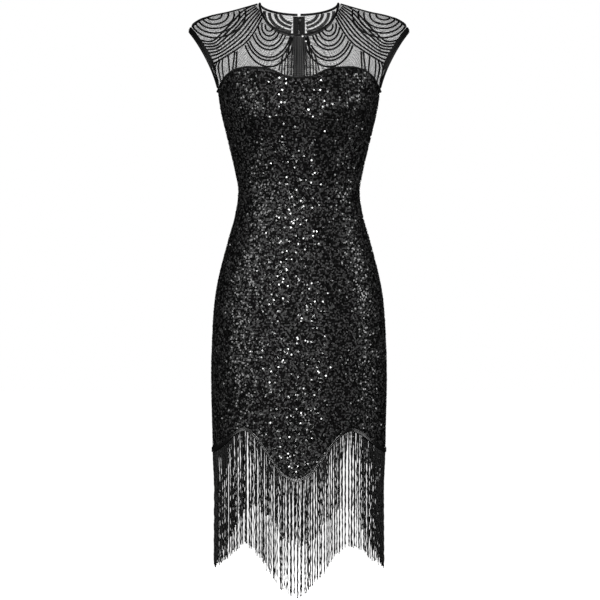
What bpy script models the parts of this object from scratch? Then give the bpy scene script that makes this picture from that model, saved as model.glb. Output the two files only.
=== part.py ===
"""Sequin cocktail gown with a corded net yoke, cap sleeves and a fringed zigzag hem.

Metres, +Z up. The front faces -Y. The origin is midway between the high shoulder points.
The gown keeps the hollow form it has when it is worn, with nobody in it.
"""
import math

import bmesh
import bpy
import numpy as np
from mathutils import Matrix, Vector
from mathutils.geometry import delaunay_2d_cdt

FRONT = -1
BACK = 1
RIGHT = 1
LEFT = -1

# Walls and gaps
GAP = 0.0003
CLOTH = 0.0016
NET = 0.0018

# Body of the gown: one row for each level, widths and depths from the middle plane
RING_COLUMNS = ("z", "half_width", "front_depth", "back_depth")
RINGS = (
    (-0.166, 0.163, 0.105, 0.085),
    (-0.214, 0.156, 0.116, 0.088),
    (-0.274, 0.142, 0.104, 0.084),
    (-0.334, 0.128, 0.093, 0.080),
    (-0.374, 0.121, 0.088, 0.080),
    (-0.424, 0.127, 0.090, 0.088),
    (-0.474, 0.141, 0.098, 0.102),
    (-0.574, 0.165, 0.104, 0.118),
    (-0.694, 0.174, 0.106, 0.114),
    (-0.894, 0.172, 0.102, 0.106),
    (-1.124, 0.169, 0.100, 0.104),
)
ROUNDNESS = 0.9
CHEST_Z = -0.170
CUP_RISE = 0.009
CUP_X = 0.082
CUP_Z = -0.207
CUP_SPREAD = (0.048, 0.055)

# Upper edge: neck curve, then shoulder seam to the tip of the cap
NECK_HALF_WIDTH = 0.078
NECK_DROP = {FRONT: 0.066, BACK: 0.017}
NECK_DEPTH = {FRONT: 0.062, BACK: 0.063}
NECK_SHARE = 0.42
RIB_SPAN = 0.150
SHOULDER_COLUMNS = ("share", "x", "z")
SHOULDER = (
    (0.00, 0.0780, 0.0000),
    (0.23, 0.1100, -0.0094),
    (0.44, 0.1400, -0.0176),
    (0.71, 0.1810, -0.0266),
    (0.86, 0.2030, -0.0348),
    (0.93, 0.2140, -0.0430),
    (1.00, 0.2222, -0.0575),
)
# Direction and pull of the cloth as it leaves the upper edge, y counted towards the panel's side
LEAVING_COLUMNS = ("share", "x", "outward", "z")
LEAVING = (
    (0.00, 0.000, 0.010, -0.030),
    (0.42, 0.010, 0.046, -0.013),
    (0.70, 0.000, 0.050, -0.009),
    (1.00, -0.028, 0.070, -0.027),
)
RISING_PULL = 0.050
ARMHOLE_START = 0.78
ARMHOLE_PULL = (0.0005, 0.058, 0.012)

# Seam between yoke and sequin cloth: front follows a sweetheart line
EDGE_COLUMNS = ("x", "z")
SWEETHEART = (
    (0.000, -0.1560),
    (0.030, -0.1510),
    (0.055, -0.1390),
    (0.085, -0.1340),
    (0.115, -0.1345),
    (0.135, -0.1420),
    (0.148, -0.1540),
    (0.158, -0.1720),
    (0.161, -0.1770),
)
BACK_SEAM = (
    (0.000, -0.1500),
    (0.060, -0.1440),
    (0.110, -0.1480),
    (0.145, -0.1620),
    (0.158, -0.1740),
    (0.161, -0.1770),
)

# Zigzag hem: level of the cloth edge against x
FRONT_HEM = (
    (-0.174, -0.892),
    (-0.150, -0.877),
    (-0.128, -0.857),
    (-0.105, -0.847),
    (-0.082, -0.865),
    (-0.058, -0.902),
    (-0.034, -0.934),
    (-0.010, -0.947),
    (0.018, -0.938),
    (0.046, -0.906),
    (0.074, -0.867),
    (0.100, -0.848),
    (0.124, -0.857),
    (0.150, -0.877),
    (0.174, -0.892),
)
BACK_HEM = (
    (0.000, -0.858),
    (0.024, -0.850),
    (0.050, -0.818),
    (0.072, -0.792),
    (0.092, -0.780),
    (0.118, -0.800),
    (0.146, -0.852),
    (0.174, -0.892),
)
FRINGE_DROP = 0.231
HEADING_HEIGHT = 0.009
HEADING_THICKNESS = 0.0014
STRANDS_A_SIDE = 78
STRAND_TIP = 0.55
STRAND_GATHER = 0.985
STRAND_SWAY = 0.0007

# Bindings and piping
BINDING_RADIUS = 0.0024
PIPING_RADIUS = 0.0012
BINDING_CLEAR = BINDING_RADIUS + 3 * GAP

# Raised cords of the yoke
CORD_WIDTH = 0.0032
CORD_RISE = 0.0009
CORD_STEP = 0.0125
CORD_MARGIN = 0.0024

# Centre back zip
ZIP_BOTTOM_Z = -0.520
CHAIN_HALF = 0.0022
CHAIN_SLOT = 0.0025
TAPE_HALF = 0.0120
TAPE_THICKNESS = 0.0010
SLIDER_BELOW_NECK = 0.0140
PIN_RADIUS = 0.0006
HOOK_OUTER = 0.0015
HOOK_INNER = 0.0009
HOOK_MOUTH = -75
TAB_WIDTH = 0.0034
TAB_LENGTH = 0.0200
TAB_THICKNESS = 0.0008

# Mesh steps
FRONT_COLUMNS = 24
ROWS_ABOVE = 10
ROWS_BELOW = 7
ARMHOLE_STEPS = 22
FILL_STEP = 0.0145


def clear_scene():
    """Start from an empty file."""
    for old in list(bpy.data.objects):
        bpy.data.objects.remove(old, do_unlink=True)


def smooth_row(rows, columns, wanted, where):
    """Read the wanted column of a table at the places in where, along a smooth curve."""
    table = np.array(sorted(rows))
    keys = table[:, 0]
    values = table[:, columns.index(wanted)]
    slopes = np.gradient(values, keys)
    where = np.clip(np.asarray(where, dtype=float), keys[0], keys[-1])
    low = np.clip(np.searchsorted(keys, where) - 1, 0, len(keys) - 2)
    span = keys[low + 1] - keys[low]
    t = (where - keys[low]) / span
    start = (1 + 2 * t) * (1 - t) ** 2 * values[low] + t * (1 - t) ** 2 * span * slopes[low]
    finish = t * t * (3 - 2 * t) * values[low + 1] + t * t * (t - 1) * span * slopes[low + 1]
    return start + finish


def smooth_step(value):
    """Ease from 0 to 1."""
    value = np.clip(value, 0.0, 1.0)
    return value * value * (3 - 2 * value)


def ring_point(side, s, z):
    """Point of the body at level z, s from -1 at one side seam to 1 at the other."""
    half_width = smooth_row(RINGS, RING_COLUMNS, "half_width", z)
    depth = smooth_row(RINGS, RING_COLUMNS, "front_depth" if side == FRONT else "back_depth", z)
    angle = np.abs(s) * math.pi / 2
    x = np.sign(s) * half_width * np.sin(angle) ** ROUNDNESS
    y = depth * np.abs(np.cos(angle)) ** ROUNDNESS
    if side == FRONT:
        across = (np.abs(x) - CUP_X) / CUP_SPREAD[0]
        along = (z - CUP_Z) / CUP_SPREAD[1]
        y = y + CUP_RISE * np.exp(-across ** 2 - along ** 2)
    return np.stack([x, side * y, z + 0 * x], axis=-1)


def upper_edge(side, s):
    """Point of the neck curve or of the shoulder seam."""
    share = np.abs(s)
    turn = np.clip(share / NECK_SHARE, 0, 1) * math.pi / 2
    out = np.clip((share - NECK_SHARE) / (1 - NECK_SHARE), 0, 1)
    on_neck = share <= NECK_SHARE
    x = np.where(on_neck, NECK_HALF_WIDTH * np.sin(turn),
                 smooth_row(SHOULDER, SHOULDER_COLUMNS, "x", out))
    y = np.where(on_neck, NECK_DEPTH[side] * np.cos(turn), 0.0)
    z = np.where(on_neck, -NECK_DROP[side] * np.cos(turn),
                 smooth_row(SHOULDER, SHOULDER_COLUMNS, "z", out))
    return np.stack([np.sign(s) * x, side * y, z], axis=-1)


def surface(side, s, h):
    """Outer face of the gown: h is the level below the chest line, or the way up a rib above it."""
    s = np.asarray(s, dtype=float)
    h = np.asarray(h, dtype=float)
    s, h = np.broadcast_arrays(s, h)
    low = ring_point(side, s, CHEST_Z + np.minimum(h, 0.0))
    chest = ring_point(side, s, np.full(s.shape, CHEST_Z))
    below = ring_point(side, s, np.full(s.shape, CHEST_Z - 0.004))
    share = np.abs(s)
    mirror = np.sign(s)
    rise = (chest - below) / 0.004 * RISING_PULL
    pull = np.stack([mirror * ARMHOLE_PULL[0], side * ARMHOLE_PULL[1] + 0 * s,
                     ARMHOLE_PULL[2] + 0 * s], axis=-1)
    turn = smooth_step((share - ARMHOLE_START) / (1 - ARMHOLE_START))[..., None]
    first = chest + rise * (1 - turn) + pull * turn
    top = upper_edge(side, s)
    leave = np.stack([mirror * smooth_row(LEAVING, LEAVING_COLUMNS, "x", share),
                      side * smooth_row(LEAVING, LEAVING_COLUMNS, "outward", share),
                      smooth_row(LEAVING, LEAVING_COLUMNS, "z", share)], axis=-1)
    second = top + leave
    t = np.clip(h / RIB_SPAN, 0, 1)[..., None]
    rib = (chest * (1 - t) ** 3 + 3 * first * t * (1 - t) ** 2
           + 3 * second * t * t * (1 - t) + top * t ** 3)
    return np.where((h > 0)[..., None], rib, low)


def slopes(side, s, h):
    """How the outer face moves with s and with h."""
    step = 0.002
    s = np.asarray(s, dtype=float)
    h = np.asarray(h, dtype=float)
    s_low = np.clip(s - step, -1, 1)
    s_high = np.clip(s + step, -1, 1)
    along_s = (surface(side, s_high, h) - surface(side, s_low, h)) / (s_high - s_low)[..., None]
    h_high = np.minimum(h + step, RIB_SPAN)
    along_h = (surface(side, s, h_high) - surface(side, s, h - step)) / (h_high - h + step)[..., None]
    return along_s, along_h


def outward(side, s, h):
    """Unit normal of the outer face."""
    along_s, along_h = slopes(side, s, h)
    normal = -side * np.cross(along_s, along_h)
    return normal / np.linalg.norm(normal, axis=-1, keepdims=True)


def shifted(side, s, h, distance):
    """Outer face moved out, or in with a negative distance, kept on its side of the seams."""
    s = np.asarray(s, dtype=float)
    h = np.asarray(h, dtype=float)
    s, h = np.broadcast_arrays(s, h)
    points = surface(side, s, h) + outward(side, s, h) * np.asarray(distance)[..., None]
    points[..., 1] = side * np.maximum(side * points[..., 1], GAP / 2)
    return points


def find(test, low, high, steps=26):
    """Largest value between low and high for which test still holds, test holding at low."""
    for _ in range(steps):
        middle = (low + high) / 2
        if test(middle):
            low = middle
        else:
            high = middle
    return low


def distance_to(path, point):
    """Shortest distance from a point to a path of points."""
    start = path[:-1]
    run = path[1:] - start
    share = np.clip(((point - start) * run).sum(1) / np.maximum((run * run).sum(1), 1e-12), 0, 1)
    return float(np.linalg.norm(start + run * share[:, None] - point, axis=1).min())


def s_at_x(side, x, h):
    """Rib that lies x from the middle plane at level h."""
    return find(lambda s: surface(side, s, h)[0] < x, 0.0, 1.0)


def inset_rib(side, h, inset):
    """Rib that lies a given distance inside the armhole edge."""
    run = np.linalg.norm(surface(side, 1.0, h) - surface(side, 0.99, h)) / 0.01
    return 1.0 - inset / run


def neck_path(side, s):
    """Centre line of the neck binding."""
    pull = np.linalg.norm(upper_edge(side, s) + 0 * s - surface(side, s, RIB_SPAN * 0.98)) / 0.02
    return surface(side, s, RIB_SPAN * (1 - BINDING_RADIUS / pull))


def neck_line():
    """Neck binding's centre line, all round from one centre back end to the other."""
    end = 0.010
    shares = np.linspace(end, NECK_SHARE, 16)
    back = [neck_path(BACK, s) for s in shares]
    front = [neck_path(FRONT, s) for s in np.linspace(NECK_SHARE, 0, 18)]
    half = np.array(back[:-1] + [(back[-1] + front[0]) / 2] + front[1:])
    other = half[:-1][::-1] * np.array([-1, 1, 1])
    return np.vstack([half, other])


def armhole_line():
    """Armhole binding's centre line on the +X side, closed through tip and underarm."""
    levels = np.linspace(0.0, RIB_SPAN, 17)
    front = np.array([surface(FRONT, inset_rib(FRONT, h, BINDING_RADIUS), h) for h in levels])
    back = np.array([surface(BACK, inset_rib(BACK, h, BINDING_RADIUS), h) for h in levels])
    loop = np.vstack([front, back[::-1]])
    for _ in range(2):
        loop = (np.roll(loop, 1, axis=0) + 2 * loop + np.roll(loop, -1, axis=0)) / 4
    return loop


NECK_LINE = neck_line()
ARMHOLE_LINE = armhole_line()
ARMHOLE_LOOP = np.vstack([ARMHOLE_LINE, ARMHOLE_LINE[:1]])


def seam_height(side, s):
    """Level of the yoke seam on rib s, where x and z of the seam table meet the surface."""
    table = SWEETHEART if side == FRONT else BACK_SEAM

    def below_seam(h):
        x, _, z = surface(side, abs(s), h)
        return z < smooth_row(table, EDGE_COLUMNS, "z", x)

    return find(below_seam, -0.03, 0.09)


def clear_of_armhole(side, s, h, clear=BINDING_CLEAR):
    """Whether both faces of the cloth stay clear of the armhole binding."""
    outer = surface(side, abs(s), h)
    inner = shifted(side, abs(s), h, -NET)
    return min(distance_to(ARMHOLE_LOOP, outer), distance_to(ARMHOLE_LOOP, inner)) >= clear


def panel_top(side, s):
    """Upper edge of the sequin cloth on rib s."""
    seam = seam_height(side, s) - GAP / 2
    if clear_of_armhole(side, s, seam):
        return seam
    return find(lambda h: clear_of_armhole(side, s, h), -0.03, seam)


def panel_levels(side, s, hem):
    """Levels of one column of the sequin cloth, from its top past the zip's end to its hem."""
    top = panel_top(side, s)
    middle = ZIP_BOTTOM_Z - CHEST_Z
    above = np.linspace(top, middle, ROWS_ABOVE + 1)
    below = np.linspace(middle, hem - CHEST_Z, ROWS_BELOW + 1)[1:]
    return np.concatenate([above, below])


def hem_level(side, x):
    """Level of the hem at x."""
    if side == FRONT:
        return float(smooth_row(FRONT_HEM, EDGE_COLUMNS, "z", x))
    return float(smooth_row(BACK_HEM, EDGE_COLUMNS, "z", abs(x)))


def hem_at(side, s):
    """Level of the hem on rib s."""
    x = ring_point(side, np.array(s), np.array(-0.88))[0]
    return hem_level(side, x)


def material_for(name, colour, roughness, metallic):
    """Principled material with one colour."""
    material = bpy.data.materials.get(name)
    if material is None:
        material = bpy.data.materials.new(name)
        material.use_nodes = True
        shader = material.node_tree.nodes["Principled BSDF"]
        shader.inputs["Base Color"].default_value = (*colour, 1.0)
        shader.inputs["Roughness"].default_value = roughness
        shader.inputs["Metallic"].default_value = metallic
    return material


def sequin_material():
    return material_for("sequin_cloth", (0.012, 0.012, 0.013), 0.30, 0.2)


def net_material():
    return material_for("corded_net", (0.055, 0.055, 0.058), 0.70, 0.0)


def binding_material():
    return material_for("binding", (0.010, 0.010, 0.011), 0.60, 0.0)


def fringe_material():
    return material_for("fringe_cord", (0.009, 0.009, 0.010), 0.50, 0.0)


def tape_material():
    return material_for("zip_tape", (0.010, 0.010, 0.011), 0.80, 0.0)


def metal_material():
    return material_for("painted_zip_metal", (0.030, 0.030, 0.032), 0.40, 1.0)


def add_mesh(name, bm, material):
    """Turn a bmesh into a named object of the gown."""
    bmesh.ops.recalc_face_normals(bm, faces=bm.faces[:])
    mesh = bpy.data.meshes.new(name)
    bm.to_mesh(mesh)
    bm.free()
    mesh.shade_smooth()
    mesh.set_sharp_from_angle(angle=math.radians(50))
    mesh.materials.append(material)
    piece = bpy.data.objects.new(name, mesh)
    GOWN.objects.link(piece)
    return piece


def grid_wall(outer, inner):
    """Closed wall between two grids of points, as a bmesh with its four lists of edge faces."""
    bm = bmesh.new()
    rows, columns = outer.shape[:2]
    skins = []
    for grid in (outer, inner):
        skins.append([[bm.verts.new(grid[r, c]) for c in range(columns)] for r in range(rows)])
    for skin in skins:
        for r in range(rows - 1):
            for c in range(columns - 1):
                bm.faces.new((skin[r][c], skin[r][c + 1], skin[r + 1][c + 1], skin[r + 1][c]))
    bottom = []
    for c in range(columns - 1):
        bm.faces.new((skins[0][0][c], skins[0][0][c + 1], skins[1][0][c + 1], skins[1][0][c]))
        bottom.append(bm.faces.new((skins[0][-1][c], skins[0][-1][c + 1],
                                    skins[1][-1][c + 1], skins[1][-1][c])))
    for r in range(rows - 1):
        for c in (0, -1):
            bm.faces.new((skins[0][r][c], skins[0][r + 1][c], skins[1][r + 1][c], skins[1][r][c]))
    return bm, bottom


def wall_piece(name, side, s_grid, h_grid, outer_shift, inner_shift, material):
    """Wall piece between two distances from the outer face."""
    outer = shifted(side, s_grid, h_grid, np.full(s_grid.shape, outer_shift))
    inner = shifted(side, s_grid, h_grid, np.full(s_grid.shape, inner_shift))
    bm, _ = grid_wall(outer, inner)
    return add_mesh(name, bm, material)


def side_limit(h):
    """Rib that leaves half a gap to the side seam at level h."""
    return 1.0 - 0.0002 * (1.0 + 0 * h)


def build_front_panel():
    """Front, cut in one from the sweetheart seam to the zigzag hem."""
    shares = np.linspace(-1, 1, FRONT_COLUMNS + 1)
    shares[0], shares[-1] = -side_limit(0.0), side_limit(0.0)
    h_grid = np.array([panel_levels(FRONT, s, hem_at(FRONT, s)) for s in shares]).T
    s_grid = np.broadcast_to(shares, h_grid.shape)
    wall_piece("front_panel", FRONT, s_grid, h_grid, 0.0, -CLOTH, sequin_material())


def back_shares():
    """Columns of one half of the back, from the centre to the side seam."""
    first = s_at_x(BACK, TAPE_HALF + GAP, -0.2)
    outer = np.linspace(0, 1, FRONT_COLUMNS // 2 + 1)[2:]
    outer[-1] = side_limit(0.0)
    return np.concatenate([[0.0, first], outer])


def centre_back_rib(h):
    """Edge of the back at the centre: open for the zip, closed under it."""
    open_part = CHEST_Z + min(h, 0.0) > ZIP_BOTTOM_Z - 0.001
    return s_at_x(BACK, CHAIN_SLOT if open_part else GAP / 2, h)


def build_back_panel(hand):
    """Half of the back, from the yoke seam to the hem."""
    shares = back_shares()
    h_grid = np.array([panel_levels(BACK, s, hem_at(BACK, s)) for s in shares]).T
    s_grid = np.broadcast_to(shares, h_grid.shape).copy()
    for row in range(s_grid.shape[0]):
        s_grid[row, 0] = centre_back_rib(h_grid[row, 0])
    name = "back_panel_right" if hand == RIGHT else "back_panel_left"
    wall_piece(name, BACK, hand * s_grid, h_grid, 0.0, -CLOTH, sequin_material())


def half_ellipse(centre, width, depth, count=48):
    """Lower half of an ellipse in front view, from its outer end to its inner end."""
    angles = np.linspace(0, math.pi, count)
    return np.stack([centre[0] + width * np.cos(angles), centre[1] - depth * np.sin(angles)], 1)


def smooth_line(points, count=48):
    """Smooth line in front view through a few points."""
    points = np.array(points)
    steps = np.linspace(0, 1, len(points))
    wanted = np.linspace(0, 1, count)
    xs = smooth_row(np.stack([steps, points[:, 0]], 1).tolist(), ("step", "x"), "x", wanted)
    zs = smooth_row(np.stack([steps, points[:, 1]], 1).tolist(), ("step", "z"), "z", wanted)
    return np.stack([xs, zs], 1)


# Cords of one half in front view, x from the middle plane
SWEEP_LOW = ((0.074, -0.026), (0.093, -0.068), (0.112, -0.092), (0.134, -0.106), (0.158, -0.117),
             (0.186, -0.127))
SWEEP_HIGH = ((0.112, -0.014), (0.130, -0.034), (0.148, -0.055), (0.166, -0.070), (0.186, -0.076),
              (0.214, -0.072))
SWEEPS = 6
CAP_CENTRE = (0.176, -0.027)
CAP_SIZES = ((0.034, 0.036), (0.024, 0.025), (0.013, 0.014))
SCALLOP_CENTRE = (0.060, -0.064)
SCALLOP_SIZES = ((0.048, 0.061), (0.039, 0.050), (0.030, 0.037), (0.019, 0.023))
FAN = ((0.004, -0.062, 0.005, -0.150), (0.010, -0.066, 0.017, -0.150), (0.015, -0.070, 0.029, -0.148))
BACK_ARC_TOP = -0.014
BACK_ARCS = ((0.052, 0.034), (0.066, 0.058), (0.080, 0.082), (0.095, 0.106))


def sweep_line(share):
    """One of the long lines from the shoulder to the armhole."""
    low = smooth_line(SWEEP_LOW)
    high = smooth_line(SWEEP_HIGH)
    return low * (1 - share) + high * share


def under_sweep(point):
    """Whether a point of the front view lies on the neck's side of the lowest sweep."""
    low = smooth_line(SWEEP_LOW)
    x_there = np.interp(-point[1], -low[:, 1], low[:, 0])
    return point[0] < x_there - 1.6 * CORD_WIDTH


def yoke_cords(side):
    """Front-view lines of all cords on one half of a yoke."""
    lines = [sweep_line(k / (SWEEPS - 1)) for k in range(SWEEPS)]
    lines += [half_ellipse(CAP_CENTRE, *size) for size in CAP_SIZES]
    centre_lines = []
    if side == FRONT:
        centre_lines += [half_ellipse(SCALLOP_CENTRE, *size) for size in SCALLOP_SIZES]
        centre_lines += [smooth_line((row[:2], row[2:])) for row in FAN]
    else:
        neck = (0.0, BACK_ARC_TOP)
        centre_lines += [half_ellipse(neck, *size)[:25] for size in BACK_ARCS]
    for line in centre_lines:
        kept = [point for point in line if under_sweep(point) and point[0] > 0]
        lines.append(np.array(kept))
    return lines


def lookup_table(side):
    """Grid of ribs and levels with the front view place of each."""
    shares, levels = np.meshgrid(np.linspace(0, 1, 161), np.linspace(-0.02, RIB_SPAN, 171))
    places = surface(side, shares, levels)
    return shares.ravel(), levels.ravel(), places[..., 0].ravel(), places[..., 2].ravel()


def to_surface(side, table, point):
    """Rib and level of a front view point, or None where it misses the yoke."""
    shares, levels, xs, zs = table
    gap = (xs - point[0]) ** 2 + (zs - point[1]) ** 2
    best = int(gap.argmin())
    if gap[best] > 0.003 ** 2:
        return None
    s, h = shares[best], levels[best]
    for _ in range(2):
        along_s, along_h = slopes(side, np.array(s), np.array(h))
        matrix = np.array([[along_s[0], along_h[0]], [along_s[2], along_h[2]]])
        if abs(np.linalg.det(matrix)) < 1e-4:
            break
        miss = np.array(point) - surface(side, s, h)[[0, 2]]
        move = np.clip(np.linalg.solve(matrix, miss), -0.006, 0.006)
        s, h = np.clip(s + move[0], 0, 1), np.clip(h + move[1], -0.02, RIB_SPAN)
    return float(s), float(h)


def resample(points, step):
    """Points of a 3-D path at an even step, as shares between the old ones."""
    lengths = np.concatenate([[0], np.cumsum(np.linalg.norm(np.diff(points, axis=0), axis=1))])
    count = max(2, int(round(lengths[-1] / step)) + 1)
    return np.interp(np.linspace(0, lengths[-1], count), lengths, np.arange(len(points)))


def yoke_outline(side):
    """Outline of one half of a yoke, as ribs and levels, from the centre round by the armhole."""
    shares = np.linspace(0, 1, FRONT_COLUMNS // 2 + 1) if side == FRONT else back_shares()
    bottom = []
    for s in shares:
        h = seam_height(side, s) + GAP / 2
        if side == BACK and s == 0.0:
            s = centre_back_rib(h)
        if s < 0.97 and clear_of_armhole(side, s, h):
            bottom.append((s, h))
    corner_s = find(lambda s: clear_of_armhole(side, s, seam_height(side, s) + GAP / 2),
                    bottom[-1][0], 0.995)
    corner = (corner_s, seam_height(side, corner_s) + GAP / 2)
    if corner_s - bottom[-1][0] > 0.01:
        bottom.append(corner)
    arm = []
    top_level = RIB_SPAN - 0.0002
    climb = (1 - np.cos(np.linspace(0, math.pi, ARMHOLE_STEPS))) / 2
    for h in bottom[-1][1] + climb[1:] * (top_level - bottom[-1][1]):
        s = find(lambda s: clear_of_armhole(side, s, h), 0.6, 1.0)
        arm.append((s, h))
    top = []
    for s in np.linspace(arm[-1][0], 0.0, 28)[1:]:
        if side == BACK:
            s = max(s, s_at_x(BACK, CHAIN_SLOT, 0.13))
        h = find(lambda h: distance_to(NECK_LINE, surface(side, s, h)) >= BINDING_CLEAR,
                 0.09, top_level)
        top.append((s, h))
    half = bottom + arm + top
    if side == BACK:
        low, high = half[0][1], half[-1][1]
        centre = [(centre_back_rib(h), h) for h in np.linspace(high, low, 8)[1:-1]]
        return half[:-1] + [(centre_back_rib(high), high)] + centre
    mirrored = [(-s, h) for s, h in half if s > 1e-9]
    return half + mirrored[::-1]


DOMAIN = 0.20


def inside(outline, s, h):
    """Whether a rib and level lie inside an outline."""
    hits = False
    count = len(outline)
    for i in range(count):
        (s0, h0), (s1, h1) = outline[i], outline[(i + 1) % count]
        if (h0 > h) != (h1 > h) and s < (s1 - s0) * (h - h0) / (h1 - h0) + s0:
            hits = not hits
    return hits


def place_cords(side, outline):
    """Cords cut to the yoke: each a list of ribs and levels an even step apart."""
    table = lookup_table(side)
    edge = surface(side, *np.array(outline + outline[:1]).T)
    placed = []
    for line in yoke_cords(side):
        runs = [[]]
        for point in line:
            spot = to_surface(side, table, point)
            good = spot is not None and inside(outline, *spot)
            good = good and distance_to(edge, surface(side, *spot)) > CORD_MARGIN
            if good:
                runs[-1].append(spot)
            elif runs[-1]:
                runs.append([])
        for run in runs:
            if len(run) < 4:
                continue
            spots = np.array(run)
            shares = resample(surface(side, spots[:, 0], spots[:, 1]), CORD_STEP)
            index = np.arange(len(run))
            placed.append(np.stack([np.interp(shares, index, spots[:, 0]),
                                    np.interp(shares, index, spots[:, 1])], 1))
    return placed


def cord_feet(side, crest):
    """Closed line round the foot of a cord, as ribs and levels."""
    points = surface(side, crest[:, 0], crest[:, 1])
    normals = outward(side, crest[:, 0], crest[:, 1])
    along = np.gradient(points, axis=0)
    along /= np.linalg.norm(along, axis=1, keepdims=True)
    across = np.cross(normals, along)
    half = CORD_WIDTH / 2
    along_s, along_h = slopes(side, crest[:, 0], crest[:, 1])

    def moved(index, step):
        frame = np.stack([along_s[index], along_h[index]], 1)
        shift, *_ = np.linalg.lstsq(frame, step, rcond=None)
        return crest[index] + shift

    count = len(crest)
    left = [moved(i, across[i] * half) for i in range(count)]
    right = [moved(i, -across[i] * half) for i in range(count)]
    head = moved(0, -along[0] * half)
    tail = moved(count - 1, along[-1] * half)
    return np.array([head] + left + [tail] + right[::-1])


def cord_height(points, crests):
    """Height of the cords at each point of the outer face."""
    nearest = np.full(len(points), 1.0)
    for path in crests:
        for start, finish in zip(path[:-1], path[1:]):
            run = finish - start
            share = np.clip((points - start) @ run / (run @ run), 0, 1)
            away = np.linalg.norm(start + share[:, None] * run - points, axis=1)
            nearest = np.minimum(nearest, away)
    return CORD_RISE * np.clip(1 - nearest / (CORD_WIDTH / 2), 0, 1)


def triangulate(outline, extra_points, extra_edges):
    """Triangles inside an outline, through extra points and edges, in the rib and level plane."""
    count = len(outline)
    spots = [Vector((s * DOMAIN, h)) for s, h in outline]
    spots += [Vector((s * DOMAIN, h)) for s, h in extra_points]
    edges = [(i, (i + 1) % count) for i in range(count)]
    edges += [(a + count, b + count) for a, b in extra_edges]
    result = delaunay_2d_cdt(spots, edges, [], 1, 1e-6)
    places = np.array([(v.x / DOMAIN, v.y) for v in result[0]])
    return places, [tuple(face) for face in result[2]]


def fill_points(side, outline, crests, step):
    """Even spread of points inside a yoke, away from its edge and its cords."""
    edge = surface(side, *np.array(outline + outline[:1]).T)
    levels = np.arange(0.0, RIB_SPAN, step * 0.85)
    ribs = np.arange(-1.0, 1.0, step / 0.21)
    kept = []
    for row, h in enumerate(levels):
        for s in ribs + (row % 2) * step / 0.42:
            if not inside(outline, s, h):
                continue
            here = surface(side, s, h)
            if distance_to(edge, here) < step * 0.4:
                continue
            if crests and min(distance_to(path, here) for path in crests) < CORD_WIDTH:
                continue
            kept.append((s, h))
    return kept


def build_yoke(name, side, hand=RIGHT):
    """Net yoke with its cap cut on: cords raised in the outer face over a plain inner face."""
    outline = yoke_outline(side)
    cords = place_cords(side, outline)
    if side == FRONT:
        cords += [cord * np.array([-1, 1]) for cord in cords]
    crests = [surface(side, cord[:, 0], cord[:, 1]) for cord in cords]
    points = fill_points(side, outline, crests, FILL_STEP)
    edges = []
    for cord in cords:
        feet = cord_feet(side, cord)
        for line, closed in ((cord, False), (feet, True)):
            start = len(points)
            points += [tuple(spot) for spot in line]
            edges += [(start + i, start + i + 1) for i in range(len(line) - 1)]
            if closed:
                edges.append((start + len(line) - 1, start))
    outer_spots, outer_faces = triangulate(outline, points, edges)
    inner_spots, inner_faces = triangulate(outline, fill_points(side, outline, [], FILL_STEP), [])
    count = len(outline)
    base = surface(side, outer_spots[:, 0], outer_spots[:, 1])
    rise = cord_height(base, crests)
    rise[:count] = 0.0
    outer = shifted(side, outer_spots[:, 0], outer_spots[:, 1], rise)
    inner = shifted(side, inner_spots[:, 0], inner_spots[:, 1], np.full(len(inner_spots), -NET))
    if hand == LEFT:
        outer = outer * np.array([-1, 1, 1])
        inner = inner * np.array([-1, 1, 1])
    bm = bmesh.new()
    rims = []
    for spots, faces in ((outer, outer_faces), (inner, inner_faces)):
        verts = [bm.verts.new(spot) for spot in spots]
        for face in faces:
            bm.faces.new([verts[i] for i in face])
        rims.append(verts[:count])
    for i in range(count):
        j = (i + 1) % count
        bm.faces.new((rims[0][i], rims[0][j], rims[1][j], rims[1][i]))
    return add_mesh(name, bm, net_material())


def build_tube(name, path, radius, closed, material, resolution):
    """Round trim along a path of points."""
    curve = bpy.data.curves.new(name, "CURVE")
    curve.dimensions = "3D"
    curve.bevel_depth = radius
    curve.bevel_resolution = resolution
    curve.use_fill_caps = not closed
    spline = curve.splines.new("POLY")
    spline.points.add(len(path) - 1)
    for point, place in zip(spline.points, path):
        point.co = (*place, 1.0)
    spline.use_cyclic_u = closed
    curve.materials.append(material)
    piece = bpy.data.objects.new(name, curve)
    GOWN.objects.link(piece)
    return piece


def build_bindings():
    """Bindings of the neck and of both armholes."""
    build_tube("neck_binding", NECK_LINE, BINDING_RADIUS, False, binding_material(), 1)
    build_tube("armhole_binding_right", ARMHOLE_LINE, BINDING_RADIUS, True, binding_material(), 1)
    mirrored = ARMHOLE_LINE * np.array([-1, 1, 1])
    build_tube("armhole_binding_left", mirrored, BINDING_RADIUS, True, binding_material(), 1)


def seam_line(side, first, count):
    """Centre line of the piping on one half of the yoke seam."""
    clear = BINDING_RADIUS + PIPING_RADIUS + GAP
    lift = PIPING_RADIUS + GAP
    line = []
    for s in np.linspace(first, 0.98, count):
        h = seam_height(side, s)
        if clear_of_armhole(side, s, h, clear):
            line.append(shifted(side, s, h, lift))
    return np.array(line)


def build_piping():
    """Piping on the seam between the yoke and the sequin cloth."""
    half = seam_line(FRONT, 0.0, 30)
    whole = np.vstack([half[::-1] * np.array([-1, 1, 1]), half[1:]])
    build_tube("bust_seam_piping", whole, PIPING_RADIUS, False, binding_material(), 0)
    half = seam_line(BACK, s_at_x(BACK, CHAIN_SLOT, 0.0), 22)
    build_tube("back_seam_piping_right", half, PIPING_RADIUS, False, binding_material(), 0)
    mirrored = half * np.array([-1, 1, 1])
    build_tube("back_seam_piping_left", mirrored, PIPING_RADIUS, False, binding_material(), 0)


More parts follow.
